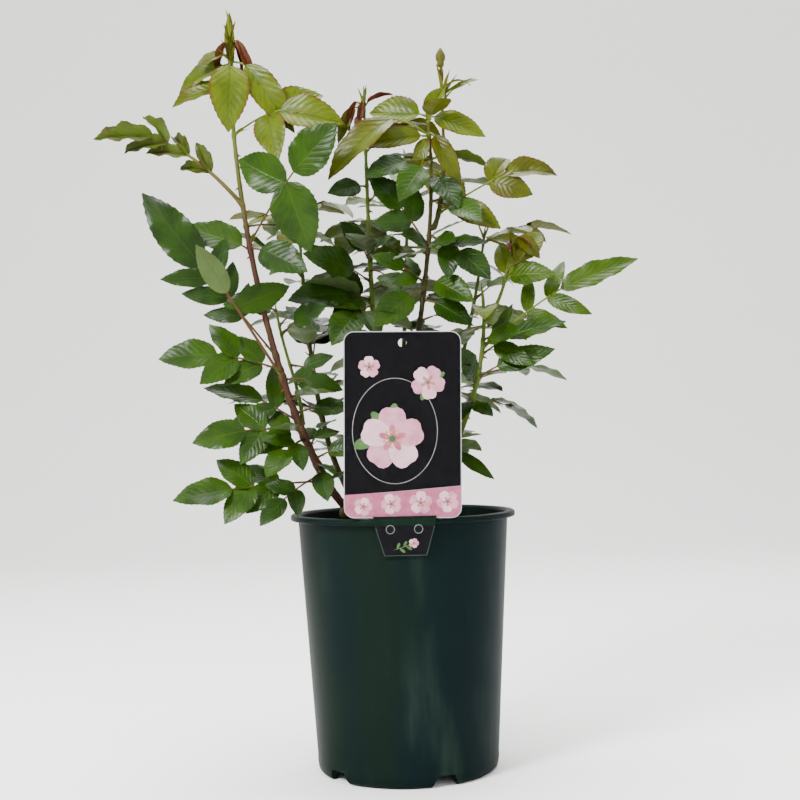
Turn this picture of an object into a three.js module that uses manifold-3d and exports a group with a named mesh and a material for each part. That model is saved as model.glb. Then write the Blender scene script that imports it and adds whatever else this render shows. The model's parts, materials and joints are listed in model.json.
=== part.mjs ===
// A young bush rose in the dark green plastic pot that it is sold in, with a picture
// label clipped over the front of the rim. Millimetres, +Z up, the label towards -Y.
// The origin is the middle of the flat pad under the pot.

import * as THREE from 'three';
import { mergeVertices } from 'three/addons/utils/BufferGeometryUtils.js';
import Module from 'manifold-3d';

const wasm = await Module();
wasm.setup();

// Driving sizes

const CLEAR = 0.3;
const POT = {
  height: 215, rimRadius: 95, neckRadius: 89, baseRadius: 76, wall: 1.6,
  lipHeight: 5, floorHeight: 10, floor: 1.6, footWidth: 3, padRadius: 20, round: 5, sides: 40,
};
const NOTCH = { count: 5, first: 23, width: 24, slant: 4, height: 8.5 };
const COMPOST = { top: 190 };
const KNUCKLE = { x: -14, y: -2, z: 203, radius: 10 };
const FLARE = { radius: 17, neck: 8 };
const STUB = { cane: 'left', at: 221, turn: 262, rise: -48, reach: 9, radius: 4.6, end: 3.9 };
const CARD = { width: 92, height: 146, corner: 7, thick: 0.7, front: -91, lean: 1.2, hole: 3.1, holeDrop: 9 };
const TAB = { topWidth: 46, bottomWidth: 31, bottom: 186, thick: 0.7 };
const STUD = { radius: 3.3, z: 206, x: [-10, 12], proud: 1.2, hole: 3.7 };
const LEAF = {
  thick: 1, fold: 0.09, curl: 0.1, slim: 0.62, spread: 58, firstPair: 9, pairStep: 20,
  pairSize: 0.86, pairLoss: 0.1, arch: 0.12, face: 60, faced: 270, sink: 1.2,
  petiole: 1.1, rachis: 0.7, margin: 0.35,
};
const BOUGH_SIDES = 7;
const STEM_SIDES = 5;
const TWIG_SIDES = 3;
const STEM_STEP = 26;
const SLIVER = 0.06;

// The canes. Each leaves the knuckle, or the side of another cane, along one heading and
// rise, and bends over to its tip. A heading is in degrees seen from above, 0 towards +X
// and 90 towards +Y. A leaf row gives the height of its root on the cane, then how far
// out and up its tip lies from there. side is the size of the side leaflets against the
// end one, and spread their angles to the stalk, one number or a left and a right one.
// parts gives the height at which each mass begins.

const CANES = [
  {
    name: 'left', leave: [231, 3], pull: 98, tip: [-135, -18, 631], end: [314, 83], hold: 148,
    radius: [3.6, 1.3],
    parts: [['left_low', 238], ['left_middle', 312], ['left_upper', 400], ['left_top', 505]],
    leaves: [
      { root: 244, turn: 196, out: 122, up: -9, pairs: 2, size: 44, arch: 4 },
      { root: 250, turn: 222, out: 64, up: -37, pairs: 1, size: 28 },
      { root: 256, turn: 285, out: 32, up: -24, pairs: 1, size: 28, side: 1.1, face: 75 },
      { root: 286, turn: 197, out: 87, up: -6, pairs: 2, size: 40, arch: 8 },
      { root: 293, turn: 174, out: 74, up: 33, pairs: 1, size: 48, slim: 0.42 },
      { root: 279, turn: 242, out: 57, up: -26, pairs: 1, size: 32 },
      { root: 336, turn: 190, out: 95, up: 14, pairs: 2, size: 44 },
      { root: 347, turn: 184, out: 108, up: 140, pairs: 3, size: 75, slim: 0.5, side: 0.5, face: 75 },
      { root: 438, turn: 327, out: 55, up: -21, pairs: 0, size: 46, arch: 8 },
      { root: 436, turn: 175, out: 53, up: 24, pairs: 0, size: 52 },
      {
        root: 441, turn: 330, out: 80, up: 85, pairs: 1, size: 49, first: 12,
        spread: [80, -118], side: [0.95, 1.15], face: 80,
      },
      {
        root: 475, turn: 182, out: 117, up: 63, pairs: 3, size: 50, slim: 0.42, spread: 30,
        side: 0.75, arch: 40,
      },
      { root: 535, turn: 344, out: 92, up: 6, pairs: 1, size: 44, spread: [25, -80], side: 1, arch: 30 },
      { root: 590, turn: 172, out: 47, up: -13, pairs: 0, size: 41 },
      { root: 573, turn: 189, out: 48, up: -13, pairs: 0, size: 42 },
      { root: 588, turn: 274, out: 38, up: -58, pairs: 0, size: 54, arch: 26 },
      { root: 592, turn: 340, out: 52, up: -54, pairs: 0, size: 52, slim: 0.4, arch: 32 },
      { root: 610, turn: 204, out: 13, up: -15, pairs: 0, size: 18, slim: 0.4, arch: 8 },
      { root: 613, turn: 335, out: 31, up: -34, pairs: 0, size: 30, slim: 0.4, arch: 14 },
    ],
    fill: { from: 262, to: 560, step: 38, start: 60, between: [35, 150], reach: [62, 105] },
  },
  {
    name: 'inner', from: 'left', at: 290, leave: [97, 61], pull: 39, tip: [-105, 0, 397],
    end: [135, 78], hold: 54, radius: [1.7, 1.0],
    parts: [['left_inner', 0]],
    leaves: [
      { root: 341, turn: 322, out: 57, up: -19, pairs: 1, size: 30 },
      { root: 367, turn: 326, out: 43, up: 22, pairs: 1, size: 32 },
      { root: 388, turn: 224, out: 49, up: 8, pairs: 0, size: 48 },
      { root: 375, turn: 70, out: 60, up: 20, pairs: 2, size: 36 },
    ],
  },
  {
    name: 'centre', leave: [100, 65], pull: 88, tip: [-25, 20, 585], end: [86, 89], hold: 81,
    radius: [3.0, 1.1],
    parts: [['centre_low', 290], ['centre_middle', 400], ['centre_top', 478]],
    leaves: [
      { root: 399, turn: 212, out: 76, up: 3, pairs: 1, size: 50 },
      { root: 393, turn: 248, out: 81, up: -33, pairs: 1, size: 46 },
      { root: 413, turn: 216, out: 61, up: 23, pairs: 0, size: 45 },
      { root: 431, turn: 208, out: 23, up: 33, pairs: 1, size: 30 },
      { root: 431, turn: 287, out: 43, up: 17, pairs: 0, size: 34 },
      { root: 424, turn: 292, out: 65, up: -23, pairs: 0, size: 34 },
      { root: 497, turn: 213, out: 37, up: -7, pairs: 1, size: 30 },
      { root: 567, turn: 223, out: 29, up: -28, pairs: 0, size: 26, slim: 0.45, arch: 14 },
      { root: 571, turn: 337, out: 25, up: 1, pairs: 0, size: 20, slim: 0.45 },
    ],
    fill: { from: 300, to: 540, step: 34, start: 110, between: [20, 160], reach: [55, 95] },
  },
  {
    name: 'right_centre', leave: [285, 58], pull: 80, tip: [27, -20, 560], end: [183, 81], hold: 109,
    radius: [3.2, 1.1],
    parts: [['right_centre_low', 300], ['right_centre_middle', 412], ['right_centre_top', 505]],
    leaves: [
      { root: 539, turn: 204, out: 99, up: -50, pairs: 0, size: 76, slim: 0.42, arch: 30 },
      { root: 505, turn: 205, out: 59, up: -14, pairs: 0, size: 36 },
      { root: 509, turn: 237, out: 48, up: -36, pairs: 0, size: 40 },
      { root: 497, turn: 301, out: 41, up: -28, pairs: 0, size: 40 },
      { root: 555, turn: 167, out: 45, up: 11, pairs: 0, size: 44 },
      { root: 536, turn: 199, out: 47, up: -12, pairs: 0, size: 42 },
      { root: 555, turn: 330, out: 51, up: -27, pairs: 0, size: 44 },
      { root: 551, turn: 313, out: 14, up: 17, pairs: 0, size: 22 },
      { root: 436, turn: 193, out: 44, up: 57, pairs: 1, size: 36 },
      { root: 438, turn: 240, out: 35, up: 7, pairs: 0, size: 34 },
      { root: 438, turn: 295, out: 44, up: -2, pairs: 0, size: 34 },
      { root: 446, turn: 320, out: 62, up: -41, pairs: 2, size: 36 },
      { root: 406, turn: 194, out: 41, up: 23, pairs: 1, size: 26 },
      { root: 400, turn: 221, out: 53, up: -28, pairs: 0, size: 42 },
      { root: 409, turn: 320, out: 47, up: -19, pairs: 0, size: 37 },
      { root: 392, turn: 332, out: 43, up: -20, pairs: 0, size: 34 },
    ],
    fill: { from: 310, to: 520, step: 34, start: 20, between: [10, 170], reach: [55, 95] },
  },
  {
    name: 'spire', from: 'right_centre', at: 452, leave: [350, 66], pull: 34, tip: [41, -20, 605],
    end: [89, 90], hold: 60, radius: [1.9, 0.9],
    parts: [['spire', 0]],
    leaves: [
      { root: 463, turn: 348, out: 96, up: 40, pairs: 1, size: 42 },
      { root: 467, turn: 329, out: 58, up: -16, pairs: 0, size: 40 },
      { root: 471, turn: 303, out: 54, up: -16, pairs: 0, size: 36 },
      { root: 505, turn: 296, out: 33, up: -22, pairs: 0, size: 40 },
      { root: 559, turn: 11, out: 26, up: 28, pairs: 0, size: 26, slim: 0.4 },
      { root: 562, turn: 333, out: 22, up: -20, pairs: 0, size: 26, arch: 14 },
      { root: 540, turn: 60, out: 48, up: 10, pairs: 1, size: 34 },
    ],
  },
  {
    name: 'right', leave: [323, 30], pull: 73, tip: [70, -25, 405], end: [197, 82], hold: 75,
    radius: [3.0, 1.3],
    parts: [['right_low', 262], ['right_middle', 336]],
    leaves: [
      { root: 350, turn: 350, out: 121, up: 71, pairs: 2, size: 63, slim: 0.42, side: 0.62 },
      { root: 345, turn: 335, out: 67, up: 27, pairs: 1, size: 46, slim: 0.42 },
      { root: 326, turn: 341, out: 61, up: 21, pairs: 1, size: 46, slim: 0.45 },
      { root: 357, turn: 305, out: 44, up: 5, pairs: 1, size: 36 },
      { root: 320, turn: 246, out: 32, up: 27, pairs: 0, size: 34 },
      { root: 304, turn: 307, out: 26, up: -8, pairs: 0, size: 22 },
      { root: 286, turn: 312, out: 40, up: -38, pairs: 1, size: 30 },
    ],
    fill: { from: 275, to: 395, step: 30, start: 80, between: [0, 150], reach: [55, 90] },
  },
  {
    name: 'right_shoot', from: 'right', at: 374, leave: [350, 55], pull: 36, tip: [103, -25, 447],
    end: [0, 62], hold: 34, radius: [1.6, 0.9],
    parts: [['right_shoot', 0]],
    leaves: [
      { root: 408, turn: 324, out: 42, up: 3, pairs: 0, size: 38 },
      { root: 415, turn: 344, out: 18, up: 20, pairs: 0, size: 22, slim: 0.4 },
      { root: 405, turn: 10, out: 32, up: 44, pairs: 1, size: 34 },
    ],
  },
  {
    name: 'back_left', leave: [160, 28], pull: 70, tip: [-92, 92, 500], end: [150, 84], hold: 90,
    radius: [3.0, 1.1],
    parts: [['back_left_low', 262], ['back_left_top', 385]],
    leaves: [],
    fill: { from: 268, to: 492, step: 26, start: 15, between: [-60, 235], reach: [60, 112] },
  },
  {
    name: 'back', leave: [80, 22], pull: 70, tip: [12, 96, 540], end: [80, 86], hold: 110,
    radius: [3.0, 1.1],
    parts: [['back_low', 262], ['back_middle', 365], ['back_top', 455]],
    leaves: [],
    fill: { from: 268, to: 532, step: 26, start: 70, between: [-40, 220], reach: [60, 112] },
  },
  {
    name: 'back_right', leave: [20, 42], pull: 60, tip: [82, 78, 470], end: [30, 82], hold: 80,
    radius: [2.8, 1.1],
    parts: [['back_right_low', 258], ['back_right_top', 365]],
    leaves: [],
    fill: { from: 264, to: 462, step: 26, start: 35, between: [-50, 170], reach: [58, 108] },
  },
];

const LIME = 0x7f9a35;
const LEAF_GREEN = 0x46702f;
const DARK_LEAF = 0x2f5427;

// Vectors and chance

const vector = (x, y, z) => new THREE.Vector3(x, y, z);
const radians = THREE.MathUtils.degToRad;

function heading(turn, rise) {
  const flat = Math.cos(radians(rise));
  return vector(Math.cos(radians(turn)) * flat, Math.sin(radians(turn)) * flat, Math.sin(radians(rise)));
}

// A small seeded generator, so that the plant grows the same way each time.
class Dice {
  constructor(seed) {
    this.state = seed * 7919 + 17;
    for (let i = 0; i < 4; i += 1) this.next();
  }

  next() {
    this.state = (this.state * 48271) % 2147483647;
    return this.state / 2147483647;
  }

  between(low, high) {
    return low + (high - low) * this.next();
  }
}

// Solids

function geometryOf(places, corners) {
  const geometry = new THREE.BufferGeometry();
  geometry.setAttribute('position', new THREE.Float32BufferAttribute(places, 3));
  geometry.setIndex(corners);
  return geometry;
}

function solidOf(geometry) {
  const bare = geometry.clone();
  bare.deleteAttribute('normal');
  bare.deleteAttribute('uv');
  const welded = mergeVertices(bare, 1e-4);
  return new wasm.Manifold(new wasm.Mesh({
    numProp: 3,
    vertProperties: new Float32Array(welded.attributes.position.array),
    triVerts: new Uint32Array(welded.index.array),
  }));
}

function geometryFrom(solid) {
  const mesh = solid.getMesh();
  const geometry = new THREE.BufferGeometry();
  geometry.setAttribute('position', new THREE.BufferAttribute(mesh.vertProperties, 3));
  geometry.setIndex(new THREE.BufferAttribute(mesh.triVerts, 1));
  geometry.computeVertexNormals();
  return geometry;
}

// A round limb that tapers along its points, closed at both ends.
function limbGeometry(points, radii, sides, tangents = null) {
  const places = [];
  const corners = [];
  let side = null;
  points.forEach((point, i) => {
    const before = points[Math.max(i - 1, 0)];
    const after = points[Math.min(i + 1, points.length - 1)];
    const along = tangents ? tangents[i] : after.clone().sub(before).normalize();
    side ??= Math.abs(along.z) > 0.8 ? vector(1, 0, 0) : vector(0, 0, 1);
    side.addScaledVector(along, -side.dot(along)).normalize();
    const up = along.clone().cross(side);
    for (let k = 0; k < sides; k += 1) {
      const angle = (2 * Math.PI * k) / sides;
      const place = point.clone();
      place.addScaledVector(side, Math.cos(angle) * radii[i]);
      place.addScaledVector(up, Math.sin(angle) * radii[i]);
      places.push(place.x, place.y, place.z);
    }
  });
  for (let i = 0; i < points.length - 1; i += 1) {
    for (let k = 0; k < sides; k += 1) {
      const a = i * sides + k;
      const b = i * sides + ((k + 1) % sides);
      corners.push(a, b, b + sides, a, b + sides, a + sides);
    }
  }
  const last = (points.length - 1) * sides;
  for (let k = 1; k < sides - 1; k += 1) {
    corners.push(0, k + 1, k, last, last + k, last + k + 1);
  }
  return geometryOf(places, corners);
}

// One leaflet: a thin closed blade, folded a little along its midrib and curled down.
function leafletGeometry({ base, along, normal, length, width }, margin) {
  const side = normal.clone().cross(along).normalize();
  const place = (s, w, lift) => {
    const drop = -LEAF.curl * length * s * s;
    const stretch = s * (length + 2 * margin) - margin;
    const point = base.clone().addScaledVector(along, stretch);
    return point.addScaledVector(side, w).addScaledVector(normal, drop + lift);
  };
  const half = width / 2 + margin;
  const rise = LEAF.fold * width;
  const outline = [
    place(0, 0, 0), place(0.32, -half, rise), place(0.7, -0.74 * half, rise),
    place(1, 0, 0), place(0.7, 0.74 * half, rise), place(0.32, half, rise),
  ];
  const thick = LEAF.thick / 2 + margin;
  const points = [...outline, place(0.46, 0, thick), place(0.46, 0, -thick)];
  const corners = [];
  for (let i = 0; i < outline.length; i += 1) {
    const next = (i + 1) % outline.length;
    corners.push(6, i, next, 7, next, i);
  }
  return geometryOf(points.flatMap((p) => [p.x, p.y, p.z]), corners);
}

function boxed(geometry) {
  geometry.computeBoundingBox();
  return { box: geometry.boundingBox, solid: solidOf(geometry) };
}

// Growth: where each cane, leaf and leaflet goes

function caneCurve(cane, start) {
  const leave = heading(...cane.leave);
  const tip = vector(...cane.tip);
  return new THREE.CubicBezierCurve3(
    start,
    start.clone().addScaledVector(leave, cane.pull),
    tip.clone().addScaledVector(heading(...cane.end), -cane.hold),
    tip,
  );
}

// The share of the way along a curve at which it first reaches a height.
function shareAt(curve, height) {
  let low = 0;
  let high = 1;
  for (let i = 0; i < 30; i += 1) {
    const middle = (low + high) / 2;
    if (curve.getPointAt(middle).z < height) low = middle;
    else high = middle;
  }
  return (low + high) / 2;
}

function radiusAt(cane, share) {
  return cane.radius[0] + (cane.radius[1] - cane.radius[0]) * share;
}

// The foot of a side shoot lies just off the skin of the cane that carries it.
function sideFoot(cane, parent) {
  const share = shareAt(parent.curve, cane.at);
  const along = parent.curve.getTangentAt(share);
  const leave = heading(...cane.leave);
  const lie = leave.dot(along);
  const outward = leave.clone().addScaledVector(along, -lie).normalize();
  const stand = radiusAt(parent, share) + CLEAR + cane.radius[0] * Math.abs(lie);
  return parent.curve.getPointAt(share).addScaledVector(outward, stand);
}

function growCanes() {
  const grown = new Map();
  for (const cane of CANES) {
    const knuckle = vector(KNUCKLE.x, KNUCKLE.y, KNUCKLE.z);
    const start = cane.from
      ? sideFoot(cane, grown.get(cane.from))
      : knuckle.addScaledVector(heading(...cane.leave), KNUCKLE.radius + CLEAR);
    const curve = caneCurve(cane, start);
    curve.arcLengthDivisions = 400;
    grown.set(cane.name, { ...cane, curve, length: curve.getLength() });
  }
  return [...grown.values()];
}

// A stretch of a cane between two shares of its length, as a solid limb.
function stretchOf(cane, from, to, sides) {
  const steps = Math.max(2, Math.round(((to - from) * cane.length) / STEM_STEP));
  const shares = Array.from({ length: steps + 1 }, (_, i) => from + ((to - from) * i) / steps);
  const points = shares.map((share) => cane.curve.getPointAt(share));
  const tangents = shares.map((share) => cane.curve.getTangentAt(share));
  return limbGeometry(points, shares.map((share) => radiusAt(cane, share)), sides, tangents);
}

// The shares of the cane at which its masses begin and end, each a little clear of the next.
function partRanges(cane) {
  return cane.parts.map(([name, height], i) => {
    const next = cane.parts[i + 1];
    const from = height > 0 ? shareAt(cane.curve, height) : 0;
    const to = next ? shareAt(cane.curve, next[1]) - CLEAR / cane.length : 1;
    return { name: `foliage_${name}`, from, to };
  });
}

// A compound leaf: a stalk that arches out towards its tip, one leaflet that runs on to the
// tip and pairs of leaflets along the stalk, all turned to face much the same way.
function compoundLeaf(cane, range, row, dice) {
  const lowest = range.from + 5 / cane.length;
  const highest = range.to - 2 / cane.length;
  const share = Math.min(Math.max(shareAt(cane.curve, row.root), lowest), highest);
  const root = cane.curve.getPointAt(share);
  const span = heading(row.turn, 0).multiplyScalar(row.out).add(vector(0, 0, row.up));
  const reach = span.length();
  const tip = root.clone().add(span);
  const bend = root.clone().addScaledVector(span, 0.5);
  bend.z += row.arch ?? LEAF.arch * reach;
  const curve = new THREE.QuadraticBezierCurve3(root, bend, tip);
  const size = Math.min(row.size, reach * 0.85);
  const stalk = 1 - size / reach;
  const face = radians(row.face ?? LEAF.face);
  const look = heading(row.faced ?? LEAF.faced, 0).multiplyScalar(Math.sin(face));
  look.z = Math.cos(face);
  const leaflets = [];
  const addLeaflet = (at, along, swing, length) => {
    const normal = look.clone().addScaledVector(along, -look.dot(along)).normalize();
    along.applyAxisAngle(normal, radians(swing + dice.between(-7, 7) * Math.sign(swing)));
    normal.applyAxisAngle(along, radians(dice.between(-14, 14)));
    const hinge = normal.clone().cross(along).normalize();
    const lean = radians(dice.between(-4, 10) * Math.abs(Math.sign(swing)));
    along.applyAxisAngle(hinge, lean);
    normal.applyAxisAngle(hinge, lean);
    const base = curve.getPoint(at).addScaledVector(along, -LEAF.sink);
    leaflets.push({ base, along, normal, length, width: length * (row.slim ?? LEAF.slim) });
  };
  const onward = tip.clone().sub(curve.getPoint(stalk)).normalize();
  addLeaflet(stalk, onward, 0, size + LEAF.sink);
  const [leftSide, rightSide = leftSide] = [row.side ?? LEAF.pairSize].flat();
  const [leftSwing, rightSwing = -leftSwing] = [row.spread ?? LEAF.spread].flat();
  for (let k = 0; k < row.pairs; k += 1) {
    const at = stalk - ((row.first ?? LEAF.firstPair) + LEAF.pairStep * k) / reach;
    const loss = 1 - LEAF.pairLoss * k;
    if (at * reach > 7) {
      addLeaflet(at, curve.getTangent(at), leftSwing, size * leftSide * loss);
      addLeaflet(at, curve.getTangent(at), rightSwing, size * rightSide * loss);
    }
  }
  const steps = stalk * reach > 45 ? 3 : 2;
  const shares = Array.from({ length: steps + 1 }, (_, i) => (stalk * i) / steps);
  return {
    points: shares.map((at) => curve.getPoint(at)),
    radii: shares.map((at) => LEAF.petiole + ((LEAF.rachis - LEAF.petiole) * at) / stalk),
    leaflets,
  };
}

// Leaves that fill the sides of a cane which its rows leave bare, by a seeded rule:
// a root every step or so, each turned two fifths of the way round from the last.
function fillRows(cane, number) {
  const { from, to, step, start, between, reach } = cane.fill;
  const rows = [];
  for (let i = 0; from + i * step < to; i += 1) {
    const dice = new Dice(1000 * number + 31 * i + 5);
    const turn = start + 144 * i + dice.between(-22, 22);
    const root = from + (i + dice.between(-0.25, 0.25)) * step;
    const far = dice.between(...reach);
    const rise = radians(dice.between(-22, 34));
    const size = dice.between(34, 46);
    const face = dice.between(15, 55);
    const pairs = far > 80 ? 2 : 1;
    const middle = (between[0] + between[1]) / 2;
    const off = THREE.MathUtils.euclideanModulo(turn - middle + 180, 360) - 180;
    if (Math.abs(off) <= (between[1] - between[0]) / 2) {
      const out = far * Math.cos(rise);
      const up = far * Math.sin(rise);
      rows.push({ root, turn, out, up, pairs, size, face, faced: turn, arch: 0.16 * far });
    }
  }
  return rows;
}

// Every mass starts as its stretch of cane. The leaves that show from the front are put
// on first, then the fill. A leaflet that would touch another mass, a cane or the label
// is left off, and so is a leaf whose stalk would.
function growFoliage(canes, fixed) {
  const masses = canes.flatMap((cane, number) => partRanges(cane).map((range) => ({
    ...range, cane, number, pieces: [boxed(stretchOf(cane, range.from, range.to, STEM_SIDES))],
  })));
  const touches = (guard, own) => {
    const meets = (piece) => piece.box.intersectsBox(guard.box)
      && !piece.solid.intersect(guard.solid).isEmpty();
    return fixed.some(meets) || masses.some((mass) => mass !== own && mass.pieces.some(meets));
  };
  const addLeaf = (cane, number, row, index) => {
    const share = shareAt(cane.curve, row.root);
    const own = masses.filter((mass) => mass.cane === cane && mass.from <= share).at(-1)
      ?? masses.find((mass) => mass.cane === cane);
    const leaf = compoundLeaf(cane, own, row, new Dice(1000 * number + 31 * index + 11));
    const margins = leaf.radii.map((radius) => radius + LEAF.margin);
    if (touches(boxed(limbGeometry(leaf.points, margins, TWIG_SIDES)), own)) return;
    own.pieces.push(boxed(limbGeometry(leaf.points, leaf.radii, TWIG_SIDES)));
    for (const leaflet of leaf.leaflets) {
      if (!touches(boxed(leafletGeometry(leaflet, LEAF.margin)), own)) {
        own.pieces.push(boxed(leafletGeometry(leaflet, 0)));
      }
    }
  };
  canes.forEach((cane, number) => cane.leaves.forEach((row, i) => addLeaf(cane, number, row, i)));
  canes.forEach((cane, number) => {
    if (cane.fill) fillRows(cane, number).forEach((row, i) => addLeaf(cane, number, row, 100 + i));
  });
  return masses;
}

// True if every edge still has two faces once places that coincide to so many decimals
// are one.
function staysClosed(geometry, decimals) {
  const { position } = geometry.attributes;
  const name = (i) => [position.getX(i), position.getY(i), position.getZ(i)]
    .map((v) => v.toFixed(decimals)).join();
  const faces = new Map();
  const { array } = geometry.index;
  for (let i = 0; i < array.length; i += 3) {
    const corners = [0, 1, 2].map((k) => name(array[i + k]));
    if (new Set(corners).size < 3) continue;
    for (const [a, b] of [[0, 1], [1, 2], [2, 0]]) {
      const edge = [corners[a], corners[b]].sort().join(' ');
      faces.set(edge, (faces.get(edge) ?? 0) + 1);
    }
  }
  return [...faces.values()].every((count) => count === 2);
}

// Joins pieces, clears the slivers that joining leaves and keeps the one body that holds
// the first piece, or gives null if its surface pinches together somewhere.
function joined(pieces) {
  const whole = wasm.Manifold.union(pieces.map((piece) => piece.solid)).simplify(SLIVER);
  const bodies = whole.decompose().sort((a, b) => b.volume() - a.volume());
  const geometry = geometryFrom(bodies[0]);
  return [4, 3].every((decimals) => staysClosed(geometry, decimals)) ? geometry : null;
}

// The solid of a mass. Where two blades only just pinch together, one of them is left off.
function fused(mass) {
  let geometry = joined(mass.pieces);
  for (let i = mass.pieces.length - 1; !geometry && i > 0; i -= 1) {
    geometry = joined(mass.pieces.filter((_, k) => k !== i));
  }
  return geometry;
}

// The pot, what is in it, and the label

function turned(profile, sides) {
  const points = profile.map(([radius, height]) => new THREE.Vector2(radius, height));
  return new THREE.LatheGeometry(points, sides).rotateX(Math.PI / 2);
}

function innerRadius(height) {
  const share = (height - POT.floorHeight) / (POT.height - POT.floorHeight);
  return POT.baseRadius + (POT.neckRadius - POT.baseRadius) * share - POT.wall;
}

function potGeometry() {
  const { height, rimRadius, neckRadius, baseRadius, lipHeight, floorHeight, floor, footWidth } = POT;
  const foot = baseRadius - POT.round;
  const profile = [
    [0, 0], [POT.padRadius, 0], [POT.padRadius, floorHeight],
    [foot - footWidth - 1, floorHeight], [foot - footWidth, 0], [foot, 0],
    [baseRadius - 1.5, POT.round * 0.3], [baseRadius, POT.round],
    [neckRadius, height - lipHeight], [rimRadius - 1, height - lipHeight],
    [rimRadius, height - lipHeight + 1], [rimRadius, height - 1.2], [rimRadius - 1.2, height],
    [neckRadius - 0.6, height], [innerRadius(height - 1.5), height - 1.5],
    [innerRadius(floorHeight + floor), floorHeight + floor], [0, floorHeight + floor],
  ];
  let pot = solidOf(turned(profile, POT.sides));
  for (let i = 0; i < NOTCH.count; i += 1) {
    pot = pot.subtract(solidOf(notchGeometry(NOTCH.first + (360 / NOTCH.count) * i)));
  }
  return geometryFrom(pot);
}

// A drain notch through the foot, wider at the bottom. Its angle is counted from the front.
function notchGeometry(angle) {
  const half = NOTCH.width / 2;
  const shape = new THREE.Shape();
  shape.moveTo(-half, -1);
  shape.lineTo(half, -1);
  shape.lineTo(half - NOTCH.slant, NOTCH.height);
  shape.lineTo(-half + NOTCH.slant, NOTCH.height);
  shape.closePath();
  const reach = POT.baseRadius + 5;
  const inner = POT.baseRadius - POT.round - POT.footWidth - 6;
  const cutter = new THREE.ExtrudeGeometry(shape, { depth: reach - inner, bevelEnabled: false });
  cutter.rotateX(Math.PI / 2);
  cutter.translate(0, -inner, 0);
  return cutter.rotateZ(radians(angle));
}

function compostGeometry() {
  const bottom = POT.floorHeight + POT.floor + CLEAR;
  return turned([
    [0, bottom], [innerRadius(bottom) - CLEAR, bottom],
    [innerRadius(COMPOST.top) - CLEAR, COMPOST.top - 3], [60, COMPOST.top], [0, COMPOST.top],
  ], POT.sides);
}

// The rootstock: a flared neck from its flat cut up to the swollen knuckle that the canes
// leave from.
function rootstockGeometry() {
  const foot = COMPOST.top + CLEAR;
  const { x, y, z, radius } = KNUCKLE;
  const heights = [foot, foot + 2.5, foot + 6, z];
  const radii = [FLARE.radius, FLARE.radius * 0.72, FLARE.neck, FLARE.neck];
  const neck = limbGeometry(heights.map((height) => vector(x, y, height)), radii, 14);
  const knuckle = new THREE.SphereGeometry(radius, 14, 10).rotateX(Math.PI / 2).translate(x, y, z);
  return geometryFrom(solidOf(neck).add(solidOf(knuckle)));
}

// The bare foot of a cane, up to its first mass. The front left one keeps the pale stub of
// a shoot that was pruned away.
function boughGeometry(cane) {
  const end = shareAt(cane.curve, cane.parts[0][1]) - CLEAR / cane.length;
  const bough = stretchOf(cane, 0, end, BOUGH_SIDES);
  if (cane.name !== STUB.cane) return bough;
  const root = cane.curve.getPointAt(shareAt(cane.curve, STUB.at));
  const tip = root.clone().addScaledVector(heading(STUB.turn, STUB.rise), STUB.reach);
  const stub = limbGeometry([root, tip], [STUB.radius, STUB.end], 9);
  return geometryFrom(solidOf(bough).add(solidOf(stub)));
}

function roundedCard(width, height, corner) {
  const half = width / 2;
  const shape = new THREE.Shape();
  shape.moveTo(-half + corner, 0);
  shape.lineTo(half - corner, 0);
  shape.absarc(half - corner, corner, corner, -Math.PI / 2, 0);
  shape.lineTo(half, height - corner);
  shape.absarc(half - corner, height - corner, corner, 0, Math.PI / 2);
  shape.lineTo(-half + corner, height);
  shape.absarc(-half + corner, height - corner, corner, Math.PI / 2, Math.PI);
  shape.lineTo(-half, corner);
  shape.absarc(-half + corner, corner, corner, Math.PI, 1.5 * Math.PI);
  return shape;
}

// Stands a flat extrusion upright, its front face at the given depth.
function upright(geometry, front, thick) {
  return geometry.rotateX(Math.PI / 2).translate(0, front + thick, 0);
}

function cardSolid() {
  const shape = roundedCard(CARD.width, CARD.height, CARD.corner);
  const hole = new THREE.Path();
  hole.absarc(0, CARD.height - CARD.holeDrop, CARD.hole, 0, 2 * Math.PI, true);
  shape.holes.push(hole);
  const options = { depth: CARD.thick, bevelEnabled: false, curveSegments: 4 };
  const card = upright(new THREE.ExtrudeGeometry(shape, options), CARD.front, CARD.thick);
  return solidOf(card.rotateY(radians(CARD.lean)).translate(0, 0, POT.height + 0.6));
}

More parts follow.
